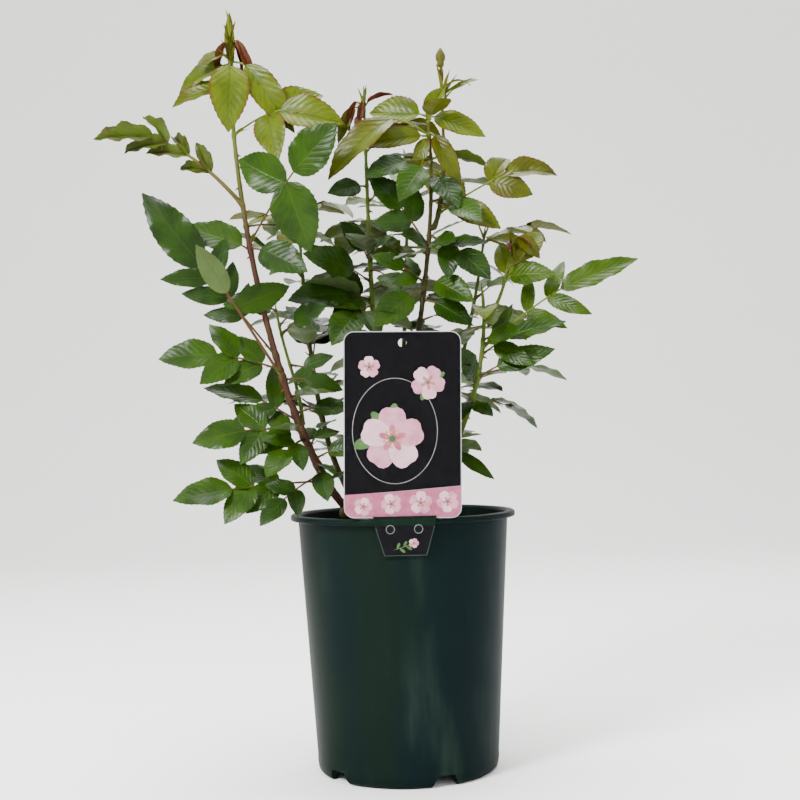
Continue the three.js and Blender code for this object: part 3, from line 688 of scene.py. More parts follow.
CANES = (
    Cane(
        "left", (231, 3), 98, (-135, -18, 631), (314, 83), 148, (3.6, 1.3),
        (("left_low", 238), ("left_middle", 312), ("left_upper", 400), ("left_top", 505)), RUDDY,
        (
            Leaf(244, 196, 122, -9, 2, 44, Age.FULL, 4, first=17, spread=(40, -46)),
            Leaf(250, 222, 64, -37, 1, 28),
            Leaf(256, 285, 32, -24, 1, 28, Age.OLD, side=(1.1, 1.1), face=75),
            Leaf(286, 197, 87, -6, 2, 40, Age.FULL, 8, first=16, spread=(44, -48)),
            Leaf(293, 174, 74, 33, 1, 48, Age.OLD, slim=0.42),
            Leaf(279, 242, 57, -26, 1, 32),
            Leaf(336, 190, 95, 14, 2, 44, first=16, spread=(44, -44)),
            Leaf(347, 184, 104, 133, 3, 73, Age.FULL, 0, slim=0.44, side=(0.55, 0.5), face=75),
            Leaf(438, 327, 55, -21, 0, 46, Age.OLD, 8),
            Leaf(436, 175, 53, 24, 0, 52, Age.OLD),
            Leaf(
                441, 330, 80, 85, 1, 49, slim=0.7, first=12,
                spread=(101, -118), side=(0.98, 1.15), face=80,
            ),
            Leaf(
                475, 182, 117, 63, 3, 50, Age.WILTED, 40, slim=0.46, spread=(30, -30),
                side=(0.8, 0.8), stout=1.3,
            ),
            Leaf(535, 344, 94, 6, 1, 51, Age.LIME, 30, spread=(25, -80), side=(1, 0.9)),
            Leaf(596, 172, 48, -15, 0, 44, Age.LIME, slim=0.52),
            Leaf(578, 189, 52, -6, 0, 44, Age.BRONZE, -4, slim=0.42),
            Leaf(596, 274, 38, -60, 0, 57, Age.LIME, 26, slim=0.58),
            Leaf(598, 340, 60, -66, 0, 66, Age.LIME, 32, slim=0.4),
            Leaf(612, 204, 20, -26, 0, 30, Age.RED, 22, slim=0.4),
            Leaf(614, 335, 30, -42, 0, 40, Age.RED, 30, slim=0.23),
            Leaf(612, 345, 18, -28, 0, 28, Age.RED, 26, slim=0.32),
            Leaf(600, 195, 30, -4, 0, 24, Age.BRONZE, 14, slim=0.6),
            Leaf(262, 345, 38, 12, 1, 26, Age.OLD),
            Leaf(300, 350, 45, 4, 1, 28, Age.OLD),
            Leaf(328, 5, 48, -8, 1, 30, Age.OLD),
            Leaf(330, 204, 69, 104, 0, 42, Age.OLD, 0, slim=0.46, faced=90, face=75),
            Leaf(
                327, 198, 53, 83, 1, 14, Age.OLD, 0, slim=0.44, side=(0.8, 3.8),
                spread=(40, -98),
            ),
        ),
        (
            Bract(594, 160, 86, 38, slim=0.3), Bract(597, 20, 85, 38, slim=0.3),
            Bract(602, 280, 89, 38, slim=0.3), Bract(610, 90, 87, 31, slim=0.3),
            Bract(603, 190, 66, 17, slim=0.16), Bract(600, 205, 40, 15, slim=0.14),
            Bract(588, 350, 80, 30, Age.BRONZE, 0.22), Bract(588, 225, 84, 34, Age.BRONZE, 0.22),
            Bract(613, 200, 88, 30), Bract(611, 300, 90, 28), Bract(592, 335, 76, 24, slim=0.16),
            Bract(607, 215, 80, 18, slim=0.16),
        ),
        Fill(262, 560, 38, 60, (35, 150), (62, 105)), Fill(236, 330, 11, 20, (170, 400), (34, 60)),
        thorns=15,
    ),
    Cane(
        "inner", (97, 61), 39, (-105, 0, 397), (135, 78), 54, (1.7, 1.0),
        (("left_inner", 0),), GREEN,
        (
            Leaf(341, 322, 57, -19, 1, 30, Age.OLD),
            Leaf(367, 326, 43, 22, 1, 32, Age.OLD),
            Leaf(388, 224, 49, 8, 0, 48),
            Leaf(375, 70, 60, 20, 2, 36, Age.OLD),
        ),
        parent="left", root=290,
    ),
    Cane(
        "centre", (100, 65), 88, (-25, 20, 585), (86, 89), 81, (3.0, 1.1),
        (("centre_low", 290), ("centre_middle", 400), ("centre_top", 478)), GREEN,
        (
            Leaf(399, 212, 76, 3, 1, 50, Age.OLD),
            Leaf(393, 248, 81, -33, 1, 46),
            Leaf(413, 216, 61, 23, 0, 45, Age.FRESH),
            Leaf(431, 208, 23, 33, 1, 30, Age.OLD),
            Leaf(431, 287, 43, 17, 0, 34, Age.OLD),
            Leaf(424, 292, 65, -23, 0, 34, Age.OLD),
            Leaf(497, 213, 37, -7, 1, 30, Age.OLD),
            Leaf(566, 223, 30, -26, 0, 28, Age.RED, 26, slim=0.32),
            Leaf(566, 250, 21, -26, 0, 26, Age.RED, 26, slim=0.26),
            Leaf(564, 205, 32, -34, 0, 32, Age.BRONZE, 26, slim=0.36),
            Leaf(567, 337, 24, 13, 0, 24, Age.RED, 3, slim=0.34, face=80),
        ),
        (
            Bract(560, 200, 80, 24), Bract(563, 60, 80, 22), Bract(566, 320, 84, 20, Age.BRONZE),
            Bract(458, 30, 62, 16, slim=0.14), Bract(557, 245, -10, 24, Age.RED, 0.4, 1.2),
        ),
        Fill(300, 540, 34, 110, (20, 160), (55, 95)), Fill(300, 555, 15, 50, (150, 400), (38, 64)),
        thorns=4,
    ),
    Cane(
        "right_centre", (285, 58), 80, (27, -20, 560), (183, 81), 109, (3.2, 1.1),
        (("right_centre_low", 300), ("right_centre_middle", 412), ("right_centre_top", 505)),
        PURPLE,
        (
            Leaf(531, 204, 102, -27, 0, 70, Age.BRONZE, 46, slim=0.4),
            Leaf(505, 205, 59, -14, 0, 36, Age.OLD),
            Leaf(509, 237, 48, -36, 0, 40),
            Leaf(497, 301, 41, -28, 0, 40),
            Leaf(547, 167, 48, 9, 0, 46, Age.LIME, slim=0.66, face=84),
            Leaf(530, 197, 56, -4, 0, 50, Age.BRONZE, 4, slim=0.42, face=80),
            Leaf(547, 334, 49, -18, 0, 50, Age.LIME, slim=0.46, face=76),
            Leaf(545, 313, 16, 22, 0, 28, Age.LIME, slim=0.74, face=84),
            Leaf(533, 325, 31, -47, 0, 46, Age.BRONZE, 18, slim=0.38),
            Leaf(528, 215, 20, -30, 0, 32, Age.BRONZE, 16, slim=0.42),
            Leaf(436, 193, 44, 57, 1, 36, Age.OLD),
            Leaf(438, 240, 35, 7, 0, 34, Age.OLD),
            Leaf(438, 295, 44, -2, 0, 34, Age.OLD),
            Leaf(446, 320, 62, -41, 2, 36, Age.OLD),
            Leaf(406, 194, 41, 23, 1, 26, Age.OLD),
            Leaf(400, 221, 53, -28, 0, 42),
            Leaf(409, 320, 47, -19, 0, 37, Age.OLD),
            Leaf(392, 332, 43, -20, 0, 34, Age.OLD),
        ),
        fill=Fill(310, 520, 34, 20, (10, 170), (55, 95)),
        twigs=Fill(304, 545, 14, 10, (170, 400), (36, 62)), thorns=5,
    ),
    Cane(
        "spire", (350, 66), 34, (41, -20, 605), (89, 90), 60, (1.9, 0.9), (("spire", 0),), PURPLE,
        (
            Leaf(463, 348, 96, 40, 1, 42, Age.BRONZE),
            Leaf(467, 326, 56, -16, 0, 44, Age.BRONZE, 18, slim=0.52),
            Leaf(471, 303, 54, -16, 0, 36),
            Leaf(505, 296, 33, -22, 0, 40, Age.BRONZE),
            Leaf(559, 11, 30, 26, 0, 28, Age.LIME, slim=0.2),
            Leaf(562, 333, 26, -26, 0, 32, Age.BRONZE, 24, slim=0.5),
            Leaf(540, 60, 48, 10, 1, 34, Age.LIME),
        ),
        (
            Bract(552, 330, 80, 34), Bract(562, 10, 46, 34, slim=0.14, bend=0.5),
            Bract(578, 160, 76, 16, slim=0.14), Bract(556, 200, 86, 34, Age.BRONZE),
            Bract(563, 345, 82, 34, slim=0.1, bend=2.4), Bract(560, 20, 62, 28, slim=0.14),
            Bract(574, 240, 87, 20, Age.BRONZE, 0.24), Bract(570, 60, 87, 24, Age.BRONZE, 0.2),
        ),
        twigs=Fill(478, 560, 17, 80, (0, 360), (28, 48)), parent="right_centre", root=452, bud=17,
    ),
    Cane(
        "right", (323, 30), 73, (70, -25, 405), (197, 82), 75, (3.0, 1.3),
        (("right_low", 262), ("right_middle", 336)), GREEN,
        (
            Leaf(350, 350, 121, 71, 2, 63, Age.FRESH, slim=0.36, side=(0.62, 0.62)),
            Leaf(345, 335, 67, 27, 1, 46, slim=0.42),
            Leaf(326, 341, 61, 21, 1, 46, slim=0.45),
            Leaf(357, 305, 44, 5, 1, 36, Age.OLD),
            Leaf(320, 246, 32, 27, 0, 34, Age.OLD),
            Leaf(304, 307, 26, -8, 0, 22),
            Leaf(246, 312, 44, -20, 0, 38, Age.OLD, 3, slim=0.28),
        ),
        fill=Fill(275, 395, 30, 80, (0, 150), (55, 90)),
        twigs=Fill(262, 400, 15, 200, (200, 420), (34, 58)), thorns=6,
    ),
    Cane(
        "right_shoot", (350, 55), 36, (103, -25, 447), (0, 62), 34, (1.6, 0.9),
        (("right_shoot", 0),), GREEN,
        (
            Leaf(408, 324, 42, 3, 0, 38, Age.FRESH),
            Leaf(438, 345, 24, -14, 0, 34, Age.BRONZE, 26, slim=0.6),
            Leaf(436, 320, 12, -26, 0, 32, Age.BRONZE, 22, slim=0.5),
            Leaf(415, 344, 18, 20, 0, 22, Age.BRONZE, slim=0.4),
            Leaf(405, 10, 32, 44, 1, 34, Age.LIME),
        ),
        (
            Bract(436, 250, 15, 20, Age.RED, 0.42, 1.5),
            Bract(440, 330, 10, 18, Age.RED, 0.42, 1.5),
            Bract(432, 175, 28, 22, Age.BRONZE, 0.3), Bract(430, 270, 70, 16),
        ),
        parent="right", root=374,
    ),
    Cane(
        "back_left", (160, 28), 70, (-92, 92, 500), (150, 84), 90, (3.0, 1.1),
        (("back_left_low", 262), ("back_left_top", 385)), BACK,
        bracts=(Bract(480, 20, 74, 24), Bract(484, 200, 76, 22, Age.BRONZE)),
        fill=Fill(268, 492, 26, 15, (-60, 235), (60, 112)),
        twigs=Fill(248, 492, 17, 100, (0, 360), (38, 74)), thorns=9,
    ),
    Cane(
        "back", (80, 22), 70, (12, 96, 540), (80, 86), 110, (3.0, 1.1),
        (("back_low", 262), ("back_middle", 365), ("back_top", 455)), BACK,
        bracts=(Bract(520, 60, 74, 24), Bract(524, 240, 76, 22, Age.BRONZE)),
        fill=Fill(268, 532, 26, 70, (-40, 220), (60, 112)),
        twigs=Fill(248, 532, 17, 100, (0, 360), (38, 74)), thorns=9,
    ),
    Cane(
        "back_right", (20, 42), 60, (82, 78, 470), (30, 82), 80, (2.8, 1.1),
        (("back_right_low", 258), ("back_right_top", 365)), BACK,
        bracts=(Bract(450, 0, 74, 24), Bract(454, 180, 76, 22, Age.BRONZE)),
        fill=Fill(264, 462, 26, 35, (-50, 170), (58, 108)),
        twigs=Fill(248, 462, 17, 100, (0, 360), (38, 74)), thorns=7,
    ),
)


@dataclass
class Sheaf:
    """Faces gathered from many small shapes, made into one mesh at the end."""

    places: list[Vector] = field(default_factory=list)
    faces: Faces = field(default_factory=list)
    charts: list[Pair] = field(default_factory=list)
    sides: list[int] = field(default_factory=list)

    def add(
        self, places: Sequence[Vector], faces: Faces, charts: Sequence[Pair] | None = None,
        side: int = 0,
    ) -> None:
        """Takes in one shape.

        Args:
            places: Its points, in millimetres.
            faces: Its faces, as rows of the points' numbers.
            charts: Where each point lies on the blade's own map.
            side: Which of the piece's materials its faces take.
        """
        start = len(self.places)
        self.places.extend(places)
        self.charts.extend(charts or [(0.0, 0.0)] * len(places))
        for face in faces:
            self.faces.append(tuple(start + i for i in face))
            self.sides.append(side)

    def piece(
        self, name: str, slot: str, materials: Sequence[Look], crease: float = 40
    ) -> Body:
        """Makes the mesh, in metres, and lets it ride on the part.

        Args:
            name: The piece's name.
            slot: The record's material slot; not used.
            materials: Its materials, in the order that the sides count.
            crease: The angle in degrees past which an edge stays sharp.

        Returns:
            The new object.
        """
        mesh = bpy.data.meshes.new(name)
        mesh.from_pydata([place * MM for place in self.places], [], self.faces)
        for material in materials:
            mesh.materials.append(material)
        mesh.polygons.foreach_set("material_index", self.sides)
        chart = mesh.uv_layers.new(name="blade")
        for loop, spot in zip(mesh.loops, chart.data):
            spot.uv = self.charts[loop.vertex_index]
        piece = bpy.data.objects.new(name, mesh)
        bpy.context.collection.objects.link(piece)
        return settle(piece, slot, crease)


def deselect() -> None:
    """Leaves object mode with nothing selected."""
    if bpy.context.object and bpy.context.object.mode != "OBJECT":
        bpy.ops.object.mode_set(mode="OBJECT")
    bpy.ops.object.select_all(action="DESELECT")


def select(piece: Body) -> None:
    """Leaves object mode with one piece selected."""
    deselect()
    piece.select_set(True)
    bpy.context.view_layer.objects.active = piece


def settle(piece: Body, slot: str, crease: float = 40) -> Body:
    """Finishes a piece: its place in its mesh, smooth shading and its ride.

    Args:
        piece: The finished object.
        slot: The record's material slot; not used.
        crease: The angle in degrees past which an edge stays sharp.

    Returns:
        The same object.
    """
    select(piece)
    bpy.ops.object.transform_apply(location=True, rotation=True, scale=True)
    bpy.ops.object.shade_smooth_by_angle(angle=radians(crease))
    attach(piece, "root")
    LOG.info("%s: %d faces", piece.name, len(piece.data.polygons))
    return piece


def tube(
    points: Sequence[Vector], radii: Sequence[float], sides: int,
    tangents: Sequence[Vector] | None = None, relief: float = 0,
) -> Shape:
    """Shapes a round limb along its points, closed at both ends.

    Args:
        points: The middle line.
        radii: The radius at each point.
        sides: How many sides it has.
        tangents: The direction at each point, where it isn't taken from its neighbours.
        relief: How rough the skin is, as a share of the radius.

    Returns:
        Its points and its faces.
    """
    places: list[Vector] = []
    side = None
    for i, (point, radius) in enumerate(zip(points, radii)):
        ahead = points[min(i + 1, len(points) - 1)] - points[max(i - 1, 0)]
        along = tangents[i] if tangents else ahead.normalized()
        if side is None:
            steep = abs(along.z) > 0.8
            side = Vector((1, 0, 0)) if steep else Vector((0, 0, 1))
        side = (side - along * side.dot(along)).normalized()
        up = along.cross(side)
        for k in range(sides):
            angle = 2 * pi * k / sides
            out = side * cos(angle) + up * sin(angle)
            skin = point + out * radius
            rough = 1 + relief * noise.noise(skin * RELIEF_SCALE) if relief else 1
            places.append(point + out * radius * rough)
    faces = []
    for i in range(len(points) - 1):
        for k in range(sides):
            a, b = i * sides + k, i * sides + (k + 1) % sides
            faces.append((a, b, b + sides, a + sides))
    faces.append(tuple(range(sides - 1, -1, -1)))
    faces.append(tuple(range((len(points) - 1) * sides, len(points) * sides)))
    return places, faces


@dataclass
class Leaflet:
    """One blade: where it sits, which way it points and faces, and its size."""

    RISE = 0.09
    DROP = 0.1
    HALF_THICK = 0.5

    base: Vector
    along: Vector
    normal: Vector
    length: float
    width: float

    def plain(self, margin: float) -> Shape:
        """Shapes the source's plain six-cornered blade, to test what it touches.

        Args:
            margin: How far it is grown on all sides.

        Returns:
            Its points and its faces.
        """
        side = self.normal.cross(self.along).normalized()
        half = self.width / 2 + margin
        rise = self.RISE * self.width
        thick = self.HALF_THICK + margin

        def place(s: float, w: float, lift: float) -> Vector:
            """Gives the point at a share of the length, aside and above the midrib."""
            drop = -self.DROP * self.length * s * s
            reach = s * (self.length + 2 * margin) - margin
            return self.base + self.along * reach + side * w + self.normal * (drop + lift)

        outline = [
            place(0, 0, 0), place(0.32, -half, rise), place(0.7, -0.74 * half, rise),
            place(1, 0, 0), place(0.7, 0.74 * half, rise), place(0.32, half, rise),
        ]
        faces = []
        for i in range(6):
            faces += [(6, i, (i + 1) % 6), (7, (i + 1) % 6, i)]
        return [*outline, place(0.46, 0, thick), place(0.46, 0, -thick)], faces


class BladeForm:
    """The toothed outline and the folds of a leaflet, worked out once for all of them."""

    SEGMENTS = 6
    TOOTH = 0.026
    INNER = 0.5
    THICK = 0.3
    BULGE = 0.035
    WAVES = (2.2, 3.4)
    FOOT_POWER = 0.62
    TIP_POWER = 0.95
    WIDEST = 0.3487

    def __init__(self) -> None:
        """Lays out the points and faces of one blade on its own map."""
        self.points: list[tuple[float, float, int]] = []
        self.upper: Faces = []
        self.lower: Faces = []
        base, tip = self._point(0, 0, 0), self._point(1, 0, 0)
        edges = {side: self._edge(side) for side in (-1, 1)}
        for layer, faces in ((1, self.upper), (-1, self.lower)):
            midrib = [base, *[self._point(s, 0, layer) for s in self._stations()], tip]
            for side in (-1, 1):
                inner = midrib
                if layer > 0:
                    rows = [side * self.INNER * self.half(s) for s in self._stations()]
                    spots = [self._point(s, w, 1) for s, w in zip(self._stations(), rows)]
                    inner = [base, *spots, tip]
                for face in self._half_faces(midrib, inner, edges[side], base, tip):
                    if len(set(face)) == 3:
                        faces.append(face if side * layer > 0 else face[::-1])

    @classmethod
    def half(cls, s: float) -> float:
        """Gives the half width at a share of the length, 1 at its widest."""
        return (s**cls.FOOT_POWER) * ((1 - s) ** cls.TIP_POWER) / cls.WIDEST

    def _point(self, s: float, w: float, layer: int) -> int:
        """Adds a point and gives its number."""
        self.points.append((s, w, layer))
        return len(self.points) - 1

    def _stations(self) -> list[float]:
        """Gives the shares of the length at which the segments meet."""
        return [i / self.SEGMENTS for i in range(1, self.SEGMENTS)]

    def _edge(self, side: int) -> list[list[int]]:
        """Adds the margin on one side.

        Args:
            side: The side, -1 or 1.

        Returns:
            For each segment the numbers of its notch, tooth, notch and tooth.
        """
        rows = []
        for i in range(self.SEGMENTS):
            row = []
            for part, out in ((0.0, -1), (0.4, 1), (0.5, -1), (0.9, 1)):
                s = (i + part) / self.SEGMENTS
                if s > 0:
                    wide = self.half(s)
                    tooth = self.TOOTH * min(1, 4 * wide) * out * (1 if i else 0.3)
                    row.append(self._point(s, side * (wide + tooth), 0))
            rows.append(row)
        return rows

    def _half_faces(
        self, midrib: list[int], inner: list[int], edge: list[list[int]], base: int, tip: int
    ) -> Iterable[tuple[int, ...]]:
        """Gives the faces of one half of one side, wound the same way.

        Args:
            midrib: The points along the midrib.
            inner: The points halfway out, or the midrib itself where there are none.
            edge: The points of the margin by segment.
            base: The point at the blade's foot.
            tip: The point at its tip.

        Yields:
            Each face, which may have a point twice.
        """
        for i in range(self.SEGMENTS):
            here, ahead = inner[i], inner[i + 1]
            if inner is not midrib:
                yield midrib[i], midrib[i + 1], ahead
                yield midrib[i], ahead, here
            first, last = i == 0, i == self.SEGMENTS - 1
            rim = [*([base] if first else []), *edge[i], tip if last else edge[i + 1][0]]
            hubs = [ahead] * 4 if first else [here] * 4 if last else [here, here, ahead, ahead]
            for hub, (near, far) in zip(hubs, pairwise(rim)):
                yield hub, far, near
            if not first and not last:
                yield here, ahead, rim[2]

    def grow(
        self, sheaf: Sheaf, leaflet: Leaflet, fold: float, bend: float, ripple: float, dice: Dice
    ) -> None:
        """Adds one blade to a sheaf.

        Args:
            sheaf: What it is added to.
            leaflet: Where it lies.
            fold: How far its halves are folded up from the midrib, in degrees.
            bend: How far it bends down from base to tip, in radians.
            ripple: How wavy its margin is, as a share of its length.
            dice: What decides its own wave.
        """
        side = leaflet.normal.cross(leaflet.along).normalized()
        lift, flat = sin(radians(fold)), cos(radians(fold))
        phase = dice.between(0, 6.28)
        waves = dice.between(*self.WAVES)
        places, charts = [], []
        for s, w, layer in self.points:
            angle = bend * s
            reach = leaflet.length * sin(angle) / bend
            drop = leaflet.length * (1 - cos(angle)) / bend
            up = leaflet.normal * cos(angle) + leaflet.along * sin(angle)
            wide = w * leaflet.width / 2
            wave = ripple * leaflet.length * abs(w) * sin(waves * 2 * pi * s + phase + w)
            bulge = self.BULGE * leaflet.width * sin(pi * min(abs(w), 1)) * (layer > 0)
            rise = abs(wide) * lift + wave + bulge + layer * self.THICK / 2
            middle = leaflet.base + leaflet.along * reach - leaflet.normal * drop
            places.append(middle + side * wide * flat + up * rise)
            charts.append((s, 0.5 + 0.5 * w / max(self.half(s), 0.05)))
        start = len(sheaf.places)
        sheaf.add(places, self.upper, charts, 0)
        for face in self.lower:
            sheaf.faces.append(tuple(start + i for i in face))
            sheaf.sides.append(1)


@dataclass
class Guard:
    """A plain shape with its box, to find out what it touches."""

    shape: Shape

    def __post_init__(self) -> None:
        """Works out the box and the tree of faces."""
        places, faces = self.shape
        self.low = Vector([min(p[k] for p in places) for k in range(3)])
        self.high = Vector([max(p[k] for p in places) for k in range(3)])
        self.tree = BVHTree.FromPolygons(places, faces)

    def meets(self, other: "Guard") -> bool:
        """Tells whether two shapes' surfaces cross."""
        if any(self.low[k] > other.high[k] or other.low[k] > self.high[k] for k in range(3)):
            return False
        return bool(self.tree.overlap(other.tree))


@dataclass
class Shoot:
    """A cane that has been given its curve."""

    cane: Cane
    number: int
    curve: Arc
    foot: Vector
    nodes: list[float] = field(default_factory=list)

    def radius(self, share: float) -> float:
        """Gives the cane's radius at a share of its length."""
        first, last = self.cane.radius
        return first + (last - first) * share

    def dice(self, index: int, seed: int) -> Dice:
        """Gives the dice of the cane's leaf of that number."""
        return Dice(1000 * self.number + 31 * index + seed)


@dataclass
class Mass:
    """One mass of foliage: the stretch of its cane that it grows from, and its guards."""

    name: str
    start: float
    stop: float
    shoot: Shoot
    guards: list[Guard] = field(default_factory=list)


@dataclass
class Bush:
    """The whole plant above the compost, grown by the source's rule, in millimetres.

    Each play is the span that a draw falls in, and each pair of numbers for the joint, the
    foot and the point is a swelling, or what is left, and the run in which it fades.
    """

    LEAF_SEED = 11
    FILL_NUMBERS = ((100, 5, "fill"), (400, 17, "twigs"))
    CREASE = 60

    knuckle: Place = (-14, -2, 203)
    knuckle_radius: float = 10
    flare_radius: float = 17
    neck_radius: float = 8
    pair_step: float = 20
    pair_loss: float = 0.1
    sink: float = 1.2
    petiole: float = 1.1
    rachis: float = 0.7
    margin: float = 0.35
    stem_step: float = 26
    ring_step: float = 2.5
    cane_sides: int = 12
    thorn: float = 4.2
    broaden: float = 1.02
    lengthen: float = 1.08
    stub_at: float = 221
    stub_turn: Pair = (262, -48)
    stub_reach: float = 9
    stub_radius: float = 4.6
    low_gap: float = 5
    high_gap: float = 2
    least_pair: float = 7
    arch_share: float = 0.12
    end_share: float = 0.85
    swing_play: float = 7
    roll_play: float = 14
    lean_play: Pair = (-4, 10)
    fold_play: Pair = (0.6, 1.5)
    bend_play: Pair = (0.5, 1.6)
    other_age: float = 0.22
    long_stalk: float = 45
    wing: Pair = (11, 2.4)
    skin: float = 0.16
    joint: Pair = (0.22, 2.4)
    joint_most: float = 1.2
    foot: Pair = (0.35, 9)
    point: Pair = (0.3, 16)
    age_tops: tuple[tuple[Age, float], ...] = (
        (Age.OLD, 0.5), (Age.FULL, 0.7), (Age.FRESH, 0.85), (Age.LIME, 9),
    )
    form: BladeForm = field(default_factory=BladeForm)

    def grow_canes(self) -> dict[str, Shoot]:
        """Gives each cane its curve, side shoots from just off their cane's skin.

        Returns:
            The canes by name.
        """
        shoots: dict[str, Shoot] = {}
        for number, cane in enumerate(CANES):
            leave = heading(*cane.leave)
            foot = Vector(self.knuckle)
            start = foot + leave * (self.knuckle_radius + CLEAR)
            if cane.parent:
                parent = shoots[cane.parent]
                share = parent.curve.share_at(cane.root)
                along = parent.curve.tangent(share)
                lie = leave.dot(along)
                outward = (leave - along * lie).normalized()
                foot = parent.curve.point(share)
                stand = parent.radius(share) + CLEAR + cane.radius[0] * abs(lie)
                start = foot + outward * stand
            tip = Vector(cane.tip)
            held = tip - heading(*cane.end) * cane.hold
            curve = Arc(start, start + leave * cane.pull, held, tip)
            shoots[cane.name] = Shoot(cane, number, curve, foot)
        return shoots

    def masses(self, shoots: dict[str, Shoot]) -> list[Mass]:
        """Parts each cane into the stretches that its masses grow from.

        Args:
            shoots: The canes by name.

        Returns:
            The masses, each with its stem as its first guard.
        """
        found = []
        for shoot in shoots.values():
            parts, curve = shoot.cane.parts, shoot.curve
            for i, (name, height) in enumerate(parts):
                start = curve.share_at(height) if height > 0 else 0.0
                stop = 1.0
                if i + 1 < len(parts):
                    stop = curve.share_at(parts[i + 1][1]) - CLEAR / curve.length
                steps = max(2, round((stop - start) * curve.length / self.stem_step))
                shares = [start + (stop - start) * k / steps for k in range(steps + 1)]
                radii = [shoot.radius(s) for s in shares]
                stem = tube([curve.point(s) for s in shares], radii, 5)
                found.append(Mass(f"foliage_{name}", start, stop, shoot, [Guard(stem)]))
        return found

    def leaf(
        self, mass: Mass, row: Leaf, dice: Dice
    ) -> tuple[Arc, float, float, list[Leaflet]]:
        """Lays out one compound leaf.

        Args:
            mass: The mass that it grows on.
            row: What is named of it.
            dice: What decides the rest.

        Returns:
            Its stalk's curve, the share of it up to the end leaflet, where on the cane it
            is rooted, and its leaflets.
        """
        curve = mass.shoot.curve
        lowest = mass.start + self.low_gap / curve.length
        highest = mass.stop - self.high_gap / curve.length
        share = min(max(curve.share_at(row.root), lowest), highest)
        root = curve.point(share)
        span = heading(row.turn, 0) * row.out + Vector((0, 0, row.up))
        reach = span.length
        tip = root + span
        middle = root + span / 2
        middle.z += self.arch_share * reach if row.arch is None else row.arch
        line = Arc(root, middle, tip)
        size = min(row.size, reach * self.end_share)
        stalk = 1 - size / reach
        face = radians(row.face)
        look = heading(row.faced, 0) * sin(face)
        look.z = cos(face)
        leaflets = []

        def add(at: float, along: Vector, swing: float, length: float) -> None:
            """Adds a leaflet of some length at a share of the line, swung away from along."""
            sign = copysign(1, swing) if swing else 0
            normal = (look - along * look.dot(along)).normalized()
            turn = radians(swing + dice.between(-self.swing_play, self.swing_play) * sign)
            along = Quaternion(normal, turn) @ along
            roll = radians(dice.between(-self.roll_play, self.roll_play))
            normal = Quaternion(along, roll) @ normal
            hinge = normal.cross(along).normalized()
            lean = Quaternion(hinge, radians(dice.between(*self.lean_play) * abs(sign)))
            along, normal = lean @ along, lean @ normal
            base = line.at(at) - along * self.sink
            leaflets.append(Leaflet(base, along, normal, length, length * row.slim))

        add(stalk, (tip - line.at(stalk)).normalized(), 0, size + self.sink)
        for k in range(row.pairs):
            at = stalk - (row.first + self.pair_step * k) / reach
            loss = 1 - self.pair_loss * k
            if at * reach > self.least_pair:
                for swing, share_of_end in zip(row.spread, row.side):
                    add(at, line.slope(at), swing, size * share_of_end * loss)
        return line, stalk, share, leaflets

    def fill_rows(
        self, shoot: Shoot, fill: Fill | None, seed: int
    ) -> Iterable[tuple[int, Leaf]]:
        """Gives the leaves that no row names, two fifths of a turn from root to root.

        Args:
            shoot: The cane that they grow on.
            fill: Their rule, if the cane has one.
            seed: What is added to the cane's seed.

        Yields:
            Each leaf with its number on the cane.
        """
        count = ceil((fill.stop - fill.start) / fill.step) if fill else 0
        for i in range(count):
            dice = shoot.dice(i, seed)
            turn = fill.turn + fill.TURN_STEP * i + dice.between(-fill.TURN_PLAY, fill.TURN_PLAY)
            root = fill.start + (i + dice.between(-fill.ROOT_PLAY, fill.ROOT_PLAY)) * fill.step
            far = dice.between(*fill.reach)
            rise = radians(dice.between(*fill.RISES))
            size = dice.between(*fill.SIZES)
            face = dice.between(*fill.LEANS)
            grown = fill.LOW_SHARE + (1 - fill.LOW_SHARE) * (root - fill.LOW_ROOT) / fill.LOW_RUN
            low = min(1, grown)
            size, far = size * low, far * low
            off = (turn - sum(fill.between) / 2 + 180) % 360 - 180
            if abs(off) <= (fill.between[1] - fill.between[0]) / 2:
                height = (root - fill.AGE_ROOT) / (shoot.cane.tip[2] - fill.AGE_ROOT)
                share = height + fill.AGE_PLAY * (i % 3 - 1)
                ages = [age for age, top in self.age_tops if share < top]
                pairs = 2 if far > fill.LONG_REACH else 1
                yield i, Leaf(
                    root, turn, far * cos(rise), far * sin(rise), pairs, size,
                    ages[0], fill.ARCH_SHARE * far, face=face, faced=turn,
                )

    def leaf_age(self, row: Leaf, dice: Dice) -> Age:
        """Deals a leaf its age, now and then one step off the one named for it."""
        near = {Age.OLD: Age.FULL, Age.FULL: Age.OLD, Age.FRESH: Age.FULL}
        return near[row.age] if row.age in near and dice.next() < self.other_age else row.age

